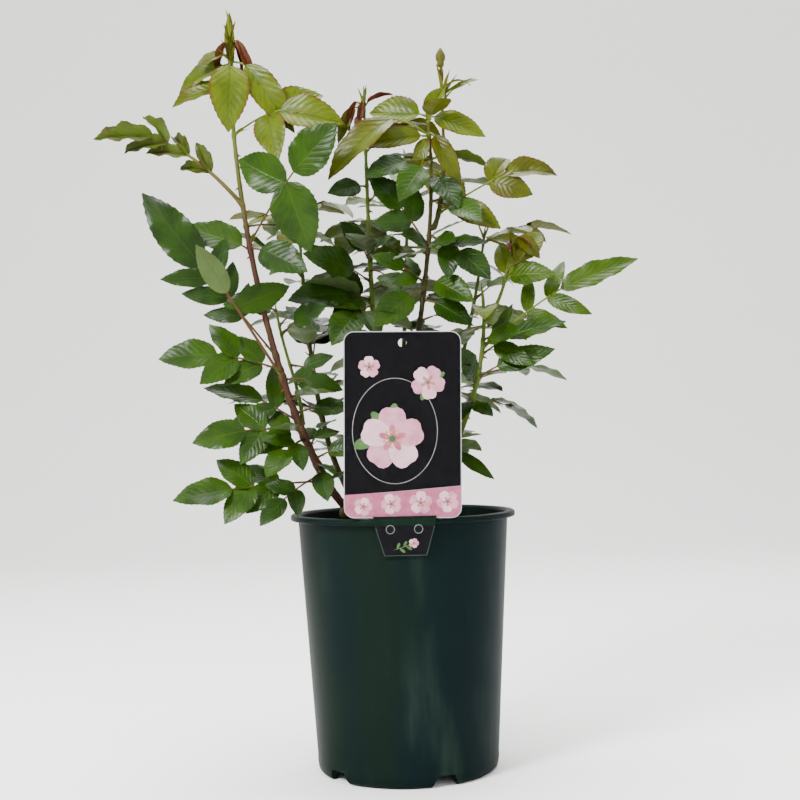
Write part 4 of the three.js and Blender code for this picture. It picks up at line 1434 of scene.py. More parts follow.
    def build(self) -> None:
        """Grows the plant and makes its pieces."""
        shoots = self.grow_canes()
        masses = self.masses(shoots)
        fixed = [self.guard_of(name) for name in ("pot", "label")]
        canes = [shoot.cane for shoot in shoots.values()]
        fixed += [self.guard_of(f"cane_{cane.name}") for cane in canes if not cane.parent]
        blades = {age: Sheaf() for age in Age}
        stalks = {tint: Sheaf() for tint in Tint}
        rows = [(s, row, i) for s in shoots.values() for i, row in enumerate(s.cane.leaves)]
        for start, seed, kind in self.FILL_NUMBERS:
            for shoot in shoots.values():
                rule = getattr(shoot.cane, kind)
                rows += [(shoot, row, start + i) for i, row in self.fill_rows(shoot, rule, seed)]
        for shoot, row, index in rows:
            self.place_leaf(masses, fixed, shoot, row, index, blades, stalks)
        for shoot in shoots.values():
            self.place_tip(shoot, blades)
        names = [mass.name for mass in masses]
        for age, sheaf in blades.items():
            finish = LEAF_FINISHES[age]
            name = f"leaves_{age.value}"
            piece = sheaf.piece(name, finish.slot, finish.materials(name), self.CREASE)
            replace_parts(piece, *names)
        for tint, sheaf in stalks.items():
            material = STALK_FINISHES[tint].material(f"stalk_{tint.value}")
            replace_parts(sheaf.piece(f"stalks_{tint.value}", "leaf", [material]), *names)
        for shoot in shoots.values():
            self.cane_piece(shoot)

    def guard_of(self, node: str) -> Guard:
        """Takes a CAD node as a shape that nothing may touch.

        Args:
            node: The node's name.

        Returns:
            Its shape in millimetres, as a guard.
        """
        mesh = bpy.data.objects[node].data
        places = [v.co / MM for v in mesh.vertices]
        return Guard((places, [tuple(p.vertices) for p in mesh.polygons]))

    def place_leaf(
        self, masses: list[Mass], fixed: list[Guard], shoot: Shoot, row: Leaf, index: int,
        blades: dict[Age, Sheaf], stalks: dict[Tint, Sheaf],
    ) -> None:
        """Puts a leaf on its mass, without the leaflets that would touch something else.

        Args:
            masses: All the masses, with what is on them so far.
            fixed: The other shapes that it keeps clear of.
            shoot: The cane that it grows on.
            row: What is named of it.
            index: Its number on the cane, which seeds it.
            blades: Where its leaflets go, by their age.
            stalks: Where its stalk goes, by its colour.
        """
        dice = shoot.dice(index, self.LEAF_SEED)
        share = shoot.curve.share_at(row.root)
        own_masses = [mass for mass in masses if mass.shoot is shoot]
        own = [mass for mass in own_masses if mass.start <= share]
        mass = own[-1] if own else own_masses[0]
        line, stalk, rooted, leaflets = self.leaf(mass, row, dice)

        def touches(guard: Guard) -> bool:
            """Tells whether a shape meets a fixed one or another mass."""
            others = (g for m in masses if m is not mass for g in m.guards)
            return any(guard.meets(g) for g in fixed) or any(guard.meets(g) for g in others)

        steps = 3 if stalk * line.length > self.long_stalk else 2
        shares = [stalk * k / steps for k in range(steps + 1)]
        points = [line.at(s) for s in shares]
        radii = [self.petiole + (self.rachis - self.petiole) * s / stalk for s in shares]
        if touches(Guard(tube(points, [r + self.margin for r in radii], 3))):
            return
        mass.guards.append(Guard(tube(points, radii, 3)))
        age = self.leaf_age(row, dice)
        finish = LEAF_FINISHES[age]
        for leaflet in leaflets:
            if touches(Guard(leaflet.plain(self.margin))):
                continue
            mass.guards.append(Guard(leaflet.plain(0)))
            leaflet.length *= self.lengthen
            leaflet.width *= self.broaden
            fold = finish.fold * dice.between(*self.fold_play)
            bend = finish.bend * dice.between(*self.bend_play)
            self.form.grow(blades[age], leaflet, fold, bend, finish.ripple, dice)
        shoot.nodes.append(rooted)
        young = age in (Age.LIME, Age.BRONZE, Age.RED, Age.FRESH)
        self.stalk(stalks[Tint.GREEN if young else Tint.RUDDY], line, stalk, row.stout)
        self.stipules(blades[Age.LIME if young else Age.FRESH], line, stalk, dice)

    def stalk(self, sheaf: Sheaf, line: Arc, stalk: float, stout: float) -> None:
        """Adds a leaf's stalk, thicker where it clasps the cane.

        Args:
            sheaf: What it is added to.
            line: The leaf's curve.
            stalk: The share of the curve up to the end leaflet.
            stout: What is added to its radius at the root.
        """
        steps = max(5, round(stalk * line.length / 5))
        shares = [stalk * k / steps for k in range(steps + 1)]
        radii = [
            self.rachis + stout * (1 - s / stalk) + 0.7 * exp(-s * line.length / 2.5)
            for s in shares
        ]
        sheaf.add(*tube([line.at(s) for s in shares], radii, 6))

    def stipules(self, sheaf: Sheaf, line: Arc, stalk: float, dice: Dice) -> None:
        """Adds the two narrow wings along the foot of a leaf's stalk.

        Args:
            sheaf: What they are added to.
            line: The leaf's curve.
            stalk: The share of the curve up to the end leaflet.
            dice: What decides their wave.
        """
        along = line.slope(0.03)
        side = along.cross(Vector((0, 0, 1))).normalized()
        most, width = self.wing
        length = min(most, stalk * line.length * 0.6)
        for hand in (-1, 1):
            point = (along + side * hand * 0.32).normalized()
            normal = (Vector((0, 0, 1)) - point * point.z).normalized()
            foot = line.at(0.02) + side * hand * 0.8
            self.form.grow(sheaf, Leaflet(foot, point, normal, length, width), 20, 0.35, 0.0, dice)

    def place_tip(self, shoot: Shoot, blades: dict[Age, Sheaf]) -> None:
        """Adds the young blades at a cane's tip.

        Args:
            shoot: The cane.
            blades: Where they go, by their age.
        """
        for i, bract in enumerate(shoot.cane.bracts):
            dice = Dice(500 + 100 * shoot.number + i)
            base = shoot.curve.point(shoot.curve.share_at(bract.root))
            along = heading(bract.turn, bract.rise)
            inward = heading(bract.turn + 180, 0)
            normal = (inward - along * inward.dot(along)).normalized()
            if bract.rise < 45 and normal.z < 0:
                normal = -normal
            blade = Leaflet(base, along, normal, bract.length, bract.length * bract.slim)
            fold = 45 if bract.slim < 0.3 else 40
            self.form.grow(blades[bract.age], blade, fold, bract.bend, 0.01, dice)

    def cane_piece(self, shoot: Shoot) -> None:
        """Makes one cane from its foot to its tip, with its joints, thorns and bud.

        Args:
            shoot: The cane.
        """
        cane = shoot.cane
        curve = shoot.curve
        steps = round(curve.length / self.ring_step)
        shares = [k / steps for k in range(steps + 1)]
        radii = []
        for share in shares:
            off = [(share - at) * curve.length / self.joint[1] for at in shoot.nodes]
            swell = self.joint[0] * min(sum(exp(-(o**2)) for o in off), self.joint_most)
            foot = self.foot[0] * exp(-share * curve.length / self.foot[1])
            point = min(1, self.point[0] + (1 - share) * curve.length / self.point[1])
            radii.append(shoot.radius(share) * (1 + swell + foot) * point)
        points = [curve.point(share) for share in shares]
        tangents = [curve.tangent(share) for share in shares]
        if cane.bud:
            points, radii, tangents = points[:-2], radii[:-2], tangents[:-2]
        inset = shoot.foot.lerp(points[0], 0.35)
        points, radii = [inset, *points], [radii[0] * 1.05, *radii]
        tangents = [(points[1] - inset).normalized(), *tangents]
        sheaf = Sheaf()
        sheaf.add(*tube(points, radii, self.cane_sides, tangents, self.skin))
        self.thorns(sheaf, shoot)
        if cane.bud:
            self.bud(sheaf, shoot)
        if cane.name == "left":
            self.stub(sheaf, shoot)
        materials = [
            cane.bark.material(f"bark_{cane.name}"),
            THORN.material(f"thorn_{cane.name}"),
            CUT_WOOD.material(f"cut_{cane.name}"),
        ]
        piece = sheaf.piece(f"stem_{cane.name}", "bark", materials, 50)
        names = [f"foliage_{name}" for name, _ in cane.parts]
        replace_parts(piece, *names, *([] if cane.parent else [f"cane_{cane.name}"]))

    def thorns(self, sheaf: Sheaf, shoot: Shoot) -> None:
        """Adds a cane's thorns, broad at the foot and hooked down a little.

        Args:
            sheaf: What they are added to.
            shoot: The cane.
        """
        dice = Dice(77 + shoot.number)
        for i in range(shoot.cane.thorns):
            share = 0.1 + 0.72 * (i + dice.between(0, 0.8)) / shoot.cane.thorns
            along = shoot.curve.tangent(share)
            outward = heading(137 * i + dice.between(-40, 40), 0)
            outward = (outward - along * outward.dot(along)).normalized()
            skin = shoot.curve.point(share) + outward * shoot.radius(share) * 0.7
            length = self.thorn * dice.between(0.6, 1.1)
            middle = skin + outward * length * 0.5 - along * 0.2
            tip = skin + outward * length - along
            sheaf.add(*tube([skin, middle, tip], [1.5, 0.7, 0.12], 6), side=1)

    def bud(self, sheaf: Sheaf, shoot: Shoot) -> None:
        """Adds the closed flower bud at the top of a cane.

        Args:
            sheaf: What it is added to.
            shoot: The cane.
        """
        tip = shoot.curve.point(1)
        axis = shoot.curve.tangent(1)
        length = shoot.cane.bud
        profile = (
            (0, 1.1), (0.06, 2.5), (0.18, 3.1), (0.26, 2.8), (0.4, 4.0), (0.6, 4.2), (0.8, 2.6),
            (0.93, 1.2), (1, 0.3),
        )
        points = [tip - axis * length * (1 - s) for s, _ in profile]
        sheaf.add(*tube(points, [r for _, r in profile], 10))

    def stub(self, sheaf: Sheaf, shoot: Shoot) -> None:
        """Adds the pale stub of the shoot that was pruned away from the front cane.

        Args:
            sheaf: What it is added to.
            shoot: The cane.
        """
        root = shoot.curve.point(shoot.curve.share_at(self.stub_at))
        along = heading(*self.stub_turn)
        tip = root + along * self.stub_reach
        points = [root.lerp(tip, s) for s in (0, 0.35, 0.6, 0.8, 0.94, 1)]
        radii = [self.stub_radius * k for k in (0.9, 1.02, 1.0, 1.04, 0.94, 0.8)]
        sheaf.add(*tube(points, radii, 14, relief=0.14), side=2)

    def rootstock(self) -> None:
        """Makes the flared neck and the knuckle that the canes leave from."""
        low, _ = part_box("rootstock")
        x, y, z = self.knuckle
        foot = low.z / MM
        rings = [
            (foot, self.flare_radius), (foot + 1.5, self.flare_radius * 0.86),
            (foot + 3.5, self.flare_radius * 0.66), (foot + 6, self.neck_radius * 1.08),
        ]
        steps = 12
        for k in range(steps):
            angle = pi * (0.18 + 0.8 * k / (steps - 1))
            height = z - self.knuckle_radius * cos(angle)
            rings.append((height, self.knuckle_radius * sin(angle) + 0.3))
        rings.sort()
        sheaf = Sheaf()
        points = [Vector((x, y, height)) for height, _ in rings]
        sheaf.add(*tube(points, [radius for _, radius in rings], 28, relief=0.3))
        bark = KNUCKLE.material("bark_rootstock")
        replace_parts(sheaf.piece("rootstock_bark", "bark", [bark], self.CREASE), "rootstock")


def around(centre: Pair, wide: float, high: float, angle: float) -> Pair:
    """Gives the spot at an angle on an oval round a centre."""
    return centre[0] + wide * cos(angle), centre[1] + high * sin(angle)


def lathe(name: str, profile: Sequence[Pair], sides: int) -> Body:
    """Turns a closed body from a circle that is extruded ring by ring.

    Args:
        name: The piece's name.
        profile: Radius and height of each ring, in metres, none on the axis itself.
        sides: How many sides each ring has.

    Returns:
        The new object, closed at both ends.
    """
    deselect()
    first_radius, first_height = profile[0]
    bpy.ops.mesh.primitive_circle_add(
        vertices=sides, radius=first_radius, fill_type="NGON", location=(0, 0, first_height)
    )
    piece = bpy.context.object
    piece.name = name
    bpy.ops.object.transform_apply(location=True, rotation=True, scale=True)
    bpy.ops.object.mode_set(mode="EDIT")
    bpy.ops.mesh.select_all(action="SELECT")
    bpy.ops.mesh.delete(type="ONLY_FACE")
    bpy.ops.mesh.select_all(action="SELECT")
    for (radius, height), (next_radius, next_height) in pairwise(profile):
        bpy.ops.mesh.extrude_region_move(
            TRANSFORM_OT_translate={"value": (0, 0, next_height - height)}
        )
        scale = next_radius / radius
        bpy.ops.transform.resize(value=(scale, scale, 1))
    bpy.ops.mesh.edge_face_add()
    bpy.ops.mesh.select_all(action="DESELECT")
    bpy.ops.mesh.select_non_manifold()
    bpy.ops.mesh.edge_face_add()
    bpy.ops.mesh.select_all(action="SELECT")
    bpy.ops.mesh.normals_make_consistent(inside=False)
    bpy.ops.object.mode_set(mode="OBJECT")
    return piece


def cut(piece: Body, cutter: Body) -> None:
    """Takes one body out of another and removes it.

    Args:
        piece: The body that is cut.
        cutter: The body that is taken out of it.
    """
    select(piece)
    modifier = piece.modifiers.new("cut", "BOOLEAN")
    modifier.operation = "DIFFERENCE"
    modifier.object = cutter
    bpy.ops.object.modifier_apply(modifier=modifier.name)
    bpy.data.objects.remove(cutter)


@dataclass
class Pot:
    """The round moulded pot, with its rolled lip and its notched foot."""

    rim_radius: float = 0.095
    neck_radius: float = 0.089
    base_radius: float = 0.076
    wall: float = 0.0016
    lip: float = 0.005
    floor: float = 0.010
    foot_width: float = 0.003
    foot_round: float = 0.005
    groove: float = 0.0003
    pad_radius: float = 0.020
    sides: int = 144
    notches: int = 5
    first_notch: float = 23
    notch_width: float = 0.024
    notch_slant: float = 0.004
    notch_height: float = 0.0085
    notch_depth: float = 0.030
    notch_round: float = 0.0012
    # The last colour is a painted reflection, a bluish sheen drifting over the green.
    finish: PlasticFinish = PlasticFinish("111f18", 0.42, "283830", "0c1b1d", shine=0.03)

    def profile(self, height: float) -> list[Pair]:
        """Lists the rings of the pot, from under the pad to the middle of its floor.

        Args:
            height: The pot's height from the frame, in metres.

        Returns:
            Radius and height of each ring.
        """
        foot = self.base_radius - self.foot_round
        rings = [(AXIS, 0.0), (self.pad_radius, 0.0), (self.pad_radius, self.floor)]
        rings += [(foot - self.foot_width - 0.001, self.floor), (foot - self.foot_width, 0.0)]
        corner = [(sin(a), 1 - cos(a)) for a in (0, 0.35, 0.7, 1.05, 1.4)]
        rings += [(foot + self.foot_round * out, self.foot_round * up) for out, up in corner]
        span = height - self.lip
        for share in (0.04, 0.05, 0.06, 0.2, 0.4, 0.6, 0.8, 0.97):
            step = self.groove if share > 0.05 else 0.0
            radius = self.base_radius + (self.neck_radius - self.base_radius) * share
            rings.append((radius - step, share * span))
        edge, neck = self.rim_radius, self.neck_radius
        inside = neck - self.wall
        below = self.base_radius - self.wall
        rings += [
            (neck - self.groove, span - 0.0006), (neck + 0.0006, span),
            (edge - 0.0012, span), (edge - 0.0003, span + 0.0004), (edge, span + 0.0013),
            (edge, height - 0.0018), (edge - 0.0004, height - 0.0007),
            (edge - 0.0016, height), (neck + 0.0012, height), (neck - 0.0004, height - 0.0006),
            (inside - 0.0002, height - 0.0022), (inside - 0.0006, height - 0.008),
            (below, self.floor + 0.0026), (below - 0.001, self.floor + 0.0016),
            (AXIS, self.floor + 0.0016),
        ]
        return rings

    def notch_cutter(self, turn: float) -> Body:
        """Makes the wedge that cuts one drain notch, wider at the bottom.

        Args:
            turn: How far round the pot it is from the front, in degrees.

        Returns:
            The wedge.
        """
        deselect()
        place = (0, -self.base_radius, self.notch_height / 2)
        bpy.ops.mesh.primitive_cube_add(size=1, location=place)
        wedge = bpy.context.object
        wedge.scale = (self.notch_width, self.notch_depth, self.notch_height + 0.002)
        bpy.ops.object.transform_apply(location=True, rotation=True, scale=True)
        bpy.ops.object.mode_set(mode="EDIT")
        bpy.ops.mesh.select_all(action="DESELECT")
        bpy.ops.object.mode_set(mode="OBJECT")
        for vertex in wedge.data.vertices:
            vertex.select = vertex.co.z > self.notch_height / 2
        bpy.ops.object.mode_set(mode="EDIT")
        narrow = 1 - 2 * self.notch_slant / self.notch_width
        bpy.ops.transform.resize(value=(narrow, 1, 1))
        bpy.ops.mesh.bevel(offset=self.notch_round, segments=3)
        bpy.ops.object.mode_set(mode="OBJECT")
        wedge.data.transform(Matrix.Rotation(radians(turn), 4, "Z"))
        return wedge

    def build(self) -> None:
        """Makes the pot and puts it in the CAD node's place."""
        _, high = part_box("pot")
        pot = lathe("pot_shell", self.profile(high.z), self.sides)
        for i in range(self.notches):
            cut(pot, self.notch_cutter(self.first_notch + 360 / self.notches * i))
        pot.data.materials.append(self.finish.material("green_plastic"))
        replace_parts(settle(pot, "pot_plastic", 35), "pot")


@dataclass
class Compost:
    """The compost in the pot, with its crumbly top."""

    rings: int = 16
    sides: int = 96
    relief: float = 0.0035
    taper: float = 0.075
    grain: float = 90

    def build(self) -> None:
        """Makes the compost from the CAD node's box."""
        low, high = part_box("compost")
        radius = high.x
        base = radius - (high.z - low.z) * self.taper
        profile = [(AXIS, low.z), (base, low.z), (radius - 0.0002, high.z - 0.003)]
        profile += [(radius * (1 - k / self.rings), high.z) for k in range(1, self.rings)]
        body = lathe("compost_top", profile, self.sides)
        for vertex in body.data.vertices:
            if vertex.co.z > high.z - 0.001:
                rough = noise.fractal(vertex.co * self.grain, 0.6, 2.2, 5)
                vertex.co.z += self.relief * rough - 0.001
        body.data.materials.append(compost_material())
        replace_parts(settle(body, "compost", 80), "compost")


@dataclass
class Label:
    """The picture card, its neck over the lip, its tab and the two studs, in millimetres."""

    BLOSSOMS = (
        ((-8, 62), 26, 90, 3), ((20, 106), 14, 60, 4), ((-26, 118), 9, 20, 3),
        ((-31, 9), 7.5, 0, 2), ((-9, 11), 8.5, 40, 2), ((14, 12), 9.5, 15, 2),
        ((35, 13), 9, 50, 2),
    )
    LEAVES = (
        ((-10, 66), 200, 30, 2), ((-10, 66), 320, 28, 2), ((-10, 66), 80, 24, 2),
        ((-10, 66), 130, 22, 2), ((20, 106), 30, 15, 3), ((20, 106), 250, 15, 3),
    )
    SPRIG = ((-6, -2.4, 70), (-4, -1.8, -42), (-1, -0.8, 62), (1, -0.2, -34))
    STUD_RINGS = (
        (0.2, 0.3), (3.0, 0.3), (3.15, 0.9), (3.3, 1.0), (3.45, 0.9), (3.5, 0.2), (3.5, -0.6),
        (1.6, -0.9), (0.2, -0.9),
    )

    width: float = 92
    height: float = 146
    corner: float = 8
    thick: float = 0.7
    front: float = -91
    lean: float = 1.2
    hole: float = 3.3
    hole_drop: float = 9
    foot: float = 215.6
    rim: float = 0.6
    tab_top: float = 50
    tab_bottom: float = 34
    tab_right: float = 1.5
    tab_bend: float = 206
    tab_low: float = 186
    tab_lean: float = 0.4
    sprig_height: float = 194
    stud_height: float = 207.3
    stud_places: Pair = (-10, 12)
    dish_radius: float = 2.95
    layer: float = 0.07
    line: float = 0.45
    laps: tuple[int, ...] = (0, 1, 0, 1, 2)
    card_finish: PlasticFinish = PlasticFinish("b9bdbb", 0.3)
    # Painted light: the clear tab is coloured like the lit lip seen through it, which its own
    # shadow would leave dark.
    film_painted_as_lit_lip: PlasticFinish = PlasticFinish("17291f", 0.12, clear=0.25, shine=0.2, density=1.15)
    # Painted highlight: a grey band round the tab's dark print, for the light on its clear
    # plastic's edge.
    edge: PrintFinish = PrintFinish("434a48", "3a403e")
    # Painted highlight: the ring is pale for the light on the clear stud's rim.
    stud_painted_highlight: PlasticFinish = PlasticFinish("838e8b", 0.3, shine=0.3)
    stud_dish: PlasticFinish = PlasticFinish("0a0a0e", 0.2, shine=0.1)

    def __post_init__(self) -> None:
        """Starts a sheaf for each ink, and the print on the card's own plane."""
        self.sheaves = {ink: Sheaf() for ink in Ink}
        turn = Matrix.Rotation(radians(self.lean), 4, "Y")
        self.plane = Matrix.Translation((0, self.front, self.foot)) @ turn
        self.outside = self.front - 4.7
        self.wall = self.front + (self.tab_low - self.foot) * 0.062 + 3.6

    def lay(self, outline: Sequence[Pair], depth: float, back: float) -> Shape:
        """Shapes a flat closed plate on the plane that is printed on.

        Args:
            outline: Its corners on that plane, counter-clockwise.
            depth: How far its front lies before the plane.
            back: How far its back lies behind the plane.

        Returns:
            Its points and faces.
        """
        places = []
        for y in (-depth, back):
            for u, v in outline:
                places.append(self.plane @ Vector((u, y, v)))
        count = len(outline)
        faces = [tuple(range(count)), tuple(range(2 * count - 1, count - 1, -1))]
        for i in range(count):
            after = (i + 1) % count
            faces.append((i, i + count, after + count, after))
        return places, faces

    def stamp(self, ink: Ink, outline: Sequence[Pair], level: int) -> None:
        """Prints one flat shape of an ink at a level of the picture."""
        self.sheaves[ink].add(*self.lay(outline, self.layer * level, 0.2))

    def rounded(self, inset: float) -> list[Pair]:
        """Gives the card's outline with its round corners.

        Args:
            inset: How far inside the card's edge it runs.

        Returns:
            Its corners, counter-clockwise.
        """
        half = self.width / 2 - inset
        corner = self.corner - inset
        top = self.height - inset
        outline = []
        spots = ((half, inset, 270), (half, top, 0), (-half, top, 90), (-half, inset, 180))
        for u, v, start in spots:
            centre = (u - copysign(corner, u), v + (corner if v == inset else -corner))
            for k in range(7):
                outline.append(around(centre, corner, corner, radians(start + 15 * k)))
        return outline

    def ring(self, ink: Ink, centre: Pair, size: Pair, level: int) -> None:
        """Prints a thin oval line as a row of short pieces.

        Args:
            ink: Its ink.
            centre: Its middle on the card.
            size: Half its width and half its height.
            level: The level of the picture that it lies on.
        """
        count = 72
        for k in range(count):
            corners = []
            for step, grow in ((0, 0), (0, self.line), (1, self.line), (1, 0)):
                angle = -2 * pi * (k + step) / count
                corners.append(around(centre, size[0] + grow, size[1] + grow, angle))
            self.stamp(ink, corners, level)

    def disc(self, ink: Ink, centre: Pair, radius: float, level: int) -> None:
        """Prints a round spot."""
        count = 20
        angles = [2 * pi * k / count for k in range(count)]
        self.stamp(ink, [around(centre, radius, radius, a) for a in angles], level)

    def petal(
        self, ink: Ink, centre: Pair, turn: float, size: float, wide: float, level: int,
        notch: float = 0.08,
    ) -> None:
        """Prints one petal, heart shaped at its end, or a leaf where it has no notch.

        Args:
            ink: Its ink.
            centre: Where its foot is.
            turn: The angle that it points in, in radians.
            size: How long it is.
            wide: Half its width as a share of that.
            level: The level of the picture that it lies on.
            notch: How deep its end is notched, as a share of its length.
        """
        outline = []
        count = 18
        c, s = cos(turn), sin(turn)
        for k in range(count):
            t = 2 * pi * k / count
            share = 0.5 - 0.5 * cos(t)
            reach = size * share * (1 - notch * exp(-((t - pi) / 0.35) ** 2))
            across = -size * wide * sin(t) * (0.6 + 0.4 * share)
            u = centre[0] + reach * c - across * s
            outline.append((u, centre[1] + reach * s + across * c))
        self.stamp(ink, outline, level)

    def blossom(self, centre: Pair, size: float, turn: float, level: int) -> None:
        """Prints one open five-petalled blossom with its golden middle.

        Args:
            centre: Its middle.
            size: How long its petals are.
            turn: The turn of its first petal, in degrees.
            level: The level of the picture that it starts on.
        """
        for k, lap in enumerate(self.laps):
            angle = radians(turn + 72 * k)
            self.petal(Ink.BLUSH if k % 2 else Ink.ROSE, centre, angle, size, 0.5, level + lap)
            self.petal(Ink.HEART, centre, angle, size * 0.42, 0.26, level + 3, 0)
        self.disc(Ink.PRINT_LEAF, centre, size * 0.1, level + 5)
        for k in range(11):
            reach = size * (0.2 if k % 2 else 0.26)
            spot = around(centre, reach, reach, radians(33 * k))
            self.disc(Ink.GOLD, spot, size * 0.035, level + 4)

    def picture(self) -> None:
        """Prints the card: blossoms and leaves on a dark ground over a pink band."""
        band = [(self.width / 2 - self.rim, 25), (0, 21), (-self.width / 2 + self.rim, 18)]
        ground = [p for p in self.rounded(self.rim) if p[1] > 20]
        self.stamp(Ink.NIGHT, ground + [(band[2][0], 18.0), (0, 21.2), (band[0][0], 25.2)], 1)
        lower = [p for p in self.rounded(self.rim) if p[1] < 20]
        right = [p for p in lower if p[0] > 0]
        left = [p for p in lower if p[0] < 0]
        self.stamp(Ink.HEART, right + band + left, 1)
        self.ring(Ink.SILVER, (-6, 68), (33, 41), 2)
        for foot, turn, reach, level in self.LEAVES:
            self.petal(Ink.PRINT_LEAF, foot, radians(turn), reach, 0.2, level, 0)
        for blossom in self.BLOSSOMS:
            self.blossom(*blossom)

    def tab_picture(self) -> None:
        """Prints a small leafy sprig on the tab, with a blossom at its upper end."""
        fall = self.wall - self.outside - self.tab_lean
        run = self.tab_bend - self.tab_low
        down = self.tab_bend - self.sprig_height
        depth = self.outside + self.tab_lean + fall * down / run - self.thick - 0.13
        turn = Matrix.Rotation(atan2(fall, run), 4, "X")
        self.plane = Matrix.Translation((1, depth, self.sprig_height)) @ turn
        self.petal(Ink.PRINT_LEAF, (-9, -3.4), radians(18), 19, 0.02, 1, 0)
        for u, v, side in self.SPRIG:
            self.petal(Ink.PRINT_LEAF, (u, v), radians(side), 5.4, 0.24, 1, 0)
        self.blossom((7, 2.2), 4.2, 70, 2)

    def piece(self, sheaf: Sheaf, name: str, material: Look) -> Body:
        """Makes one piece of the label from a sheaf."""
        return sheaf.piece(f"label_{name}", "label_card", [material], 30)

    def card(self) -> None:
        """Makes the pale plastic card with its hole, then the inks on it."""
        sheaf = Sheaf()
        sheaf.add(*self.lay(self.rounded(0), 0, self.thick))
        piece = self.piece(sheaf, "card", self.card_finish.material("card_plastic"))
        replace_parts(piece, "label")
        self.picture()
        self.tab_picture()
        holed = [piece]
        for ink, sheaf in self.sheaves.items():
            finish = INK_FINISHES[ink]
            piece = self.piece(sheaf, ink.value, finish.material(f"ink_{ink.value}"))
            if ink is Ink.NIGHT:
                holed.append(piece)
        up = self.height - self.hole_drop
        spot = Matrix.Rotation(radians(self.lean), 3, "Y") @ Vector((0, 0, up))
        place = (spot.x * MM, self.front * MM, (spot.z + self.foot) * MM)
        for each in holed:
            deselect()
            bpy.ops.mesh.primitive_cylinder_add(
                vertices=32, radius=self.hole * MM, depth=0.01, location=place,
                rotation=(pi / 2, 0, 0),
            )
            cut(each, bpy.context.object)

    def strip(
        self, line: Sequence[Pair], low_half: float, high_half: float, out: float, thick: float
    ) -> Sheaf:
        """Shapes a strip that follows the lip and the wall of the pot.

        Args:
            line: Depth and height of its middle line, from the card down.
            low_half: Half its width at its lower end.
            high_half: Half its width at its top.
            out: How far it stands off the line.
            thick: Its thickness.

        Returns:
            The strip in a sheaf.
        """
        top, bottom = line[0][1], line[-1][1]
        places = []
        for i, (y, z) in enumerate(line):
            before, after = line[max(i - 1, 0)], line[min(i + 1, len(line) - 1)]
            run = Vector((0, after[0] - before[0], after[1] - before[1])).normalized()
            normal = Vector((0, run.z, -run.y))
            half = low_half + (high_half - low_half) * (z - bottom) / (top - bottom)
            for side, lift in ((-1, out), (1, out), (1, out + thick), (-1, out + thick)):
                places.append(Vector((self.tab_right + side * half, y, z)) + normal * lift)
        faces = [(0, 1, 2, 3), tuple(reversed(range(len(places) - 4, len(places))))]
        for i in range(len(line) - 1):
            for k in range(4):
                a, b = 4 * i + k, 4 * i + (k + 1) % 4
                faces.append((a, a + 4, b + 4, b))
        sheaf = Sheaf()
        sheaf.add(places, faces)
        return sheaf

    def tab(self) -> None:
        """Makes the clear tab over the lip, painted with the lit lip's green, its dark print and
        the two studs.
        """
        outside, wall, over = self.outside, self.wall, self.foot - 0.1
        line = [
            (self.front, over + 1.4), (self.front - 0.2, over + 0.8),
            (self.front - 0.9, over + 0.2), (outside + 1, over), (outside + 0.2, over - 0.6),
            (outside, over - 1.6), (outside, 208.5), (outside + self.tab_lean, self.tab_bend),
            (wall, self.tab_low),
        ]
        strip = self.strip(line, self.tab_bottom / 2, self.tab_top / 2, 0, self.thick)
        # Its green is painted light, the lit lip as seen through the clear plastic.
        self.mend(self.piece(strip, "tab", self.film_painted_as_lit_lip.material("clear_tab")), "label")
        slope = (outside + self.tab_lean - wall) / (self.tab_bend - self.tab_low)
        # The grey edge layer is a painted highlight on the clear plastic's edge, not ink.
        edge = self.edge.material("tab_edge_painted_highlight")
        ink = INK_FINISHES[Ink.NIGHT].material("ink_tab")
        layers = (("edge", edge, 0.4, 0.02), ("print", ink, 0.9, 0.06))
        for name, material, inset, out in layers:
            hanging = [(outside, 209 + inset), *line[6:-1]]
            hanging.append((wall + inset * slope, self.tab_low + inset))
            narrow = (self.tab_bottom / 2 - inset, self.tab_top / 2 - inset - 1.4)
            layer = self.strip(hanging, *narrow, self.thick + out, 0.08)
            self.mend(self.piece(layer, f"tab_{name}", material), "label")
        for side, x in zip(("left", "right"), self.stud_places):
            self.stud(side, x, outside - self.thick - 0.2)

    def mend(self, piece: Body, node: str) -> None:
        """Turns a piece's faces outward and puts it in a CAD node's place.

        Args:
            piece: The piece.
            node: The name of the node.
        """
        select(piece)
        bpy.ops.object.mode_set(mode="EDIT")
        bpy.ops.mesh.select_all(action="SELECT")
        bpy.ops.mesh.normals_make_consistent(inside=False)
        bpy.ops.object.mode_set(mode="OBJECT")
        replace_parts(piece, node)

    def stud(self, side: str, x: float, front: float) -> None:
        """Makes one press stud: a raised ring, pale as a painted highlight, round a dark shallow
        dish.

        Args:
            side: Its name, left or right.
            x: How far it is to the right of the pot's middle.
            front: The depth of the tab's front there.
        """
        stud = lathe(f"stud_{side}", [(r * MM, h * MM) for r, h in self.STUD_RINGS], 32)
        turn = Matrix.Rotation(pi / 2, 4, "X")
        stud.data.transform(Matrix.Translation((x * MM, front * MM, self.stud_height * MM)) @ turn)
        # The ring's pale colour is a painted highlight on the clear stud's rim.
        stud.data.materials.append(self.stud_painted_highlight.material(f"clear_stud_{side}"))
        stud.data.materials.append(self.stud_dish.material(f"stud_dish_{side}"))
        for face in stud.data.polygons:
            reach = hypot(face.center.x / MM - x, face.center.z / MM - self.stud_height)
            face.material_index = int(reach < self.dish_radius)
        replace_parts(settle(stud, "clear_stud", 40), f"label_stud_{side}")

    def build(self) -> None:
        """Makes every piece of the label."""
        self.card()
        self.tab()


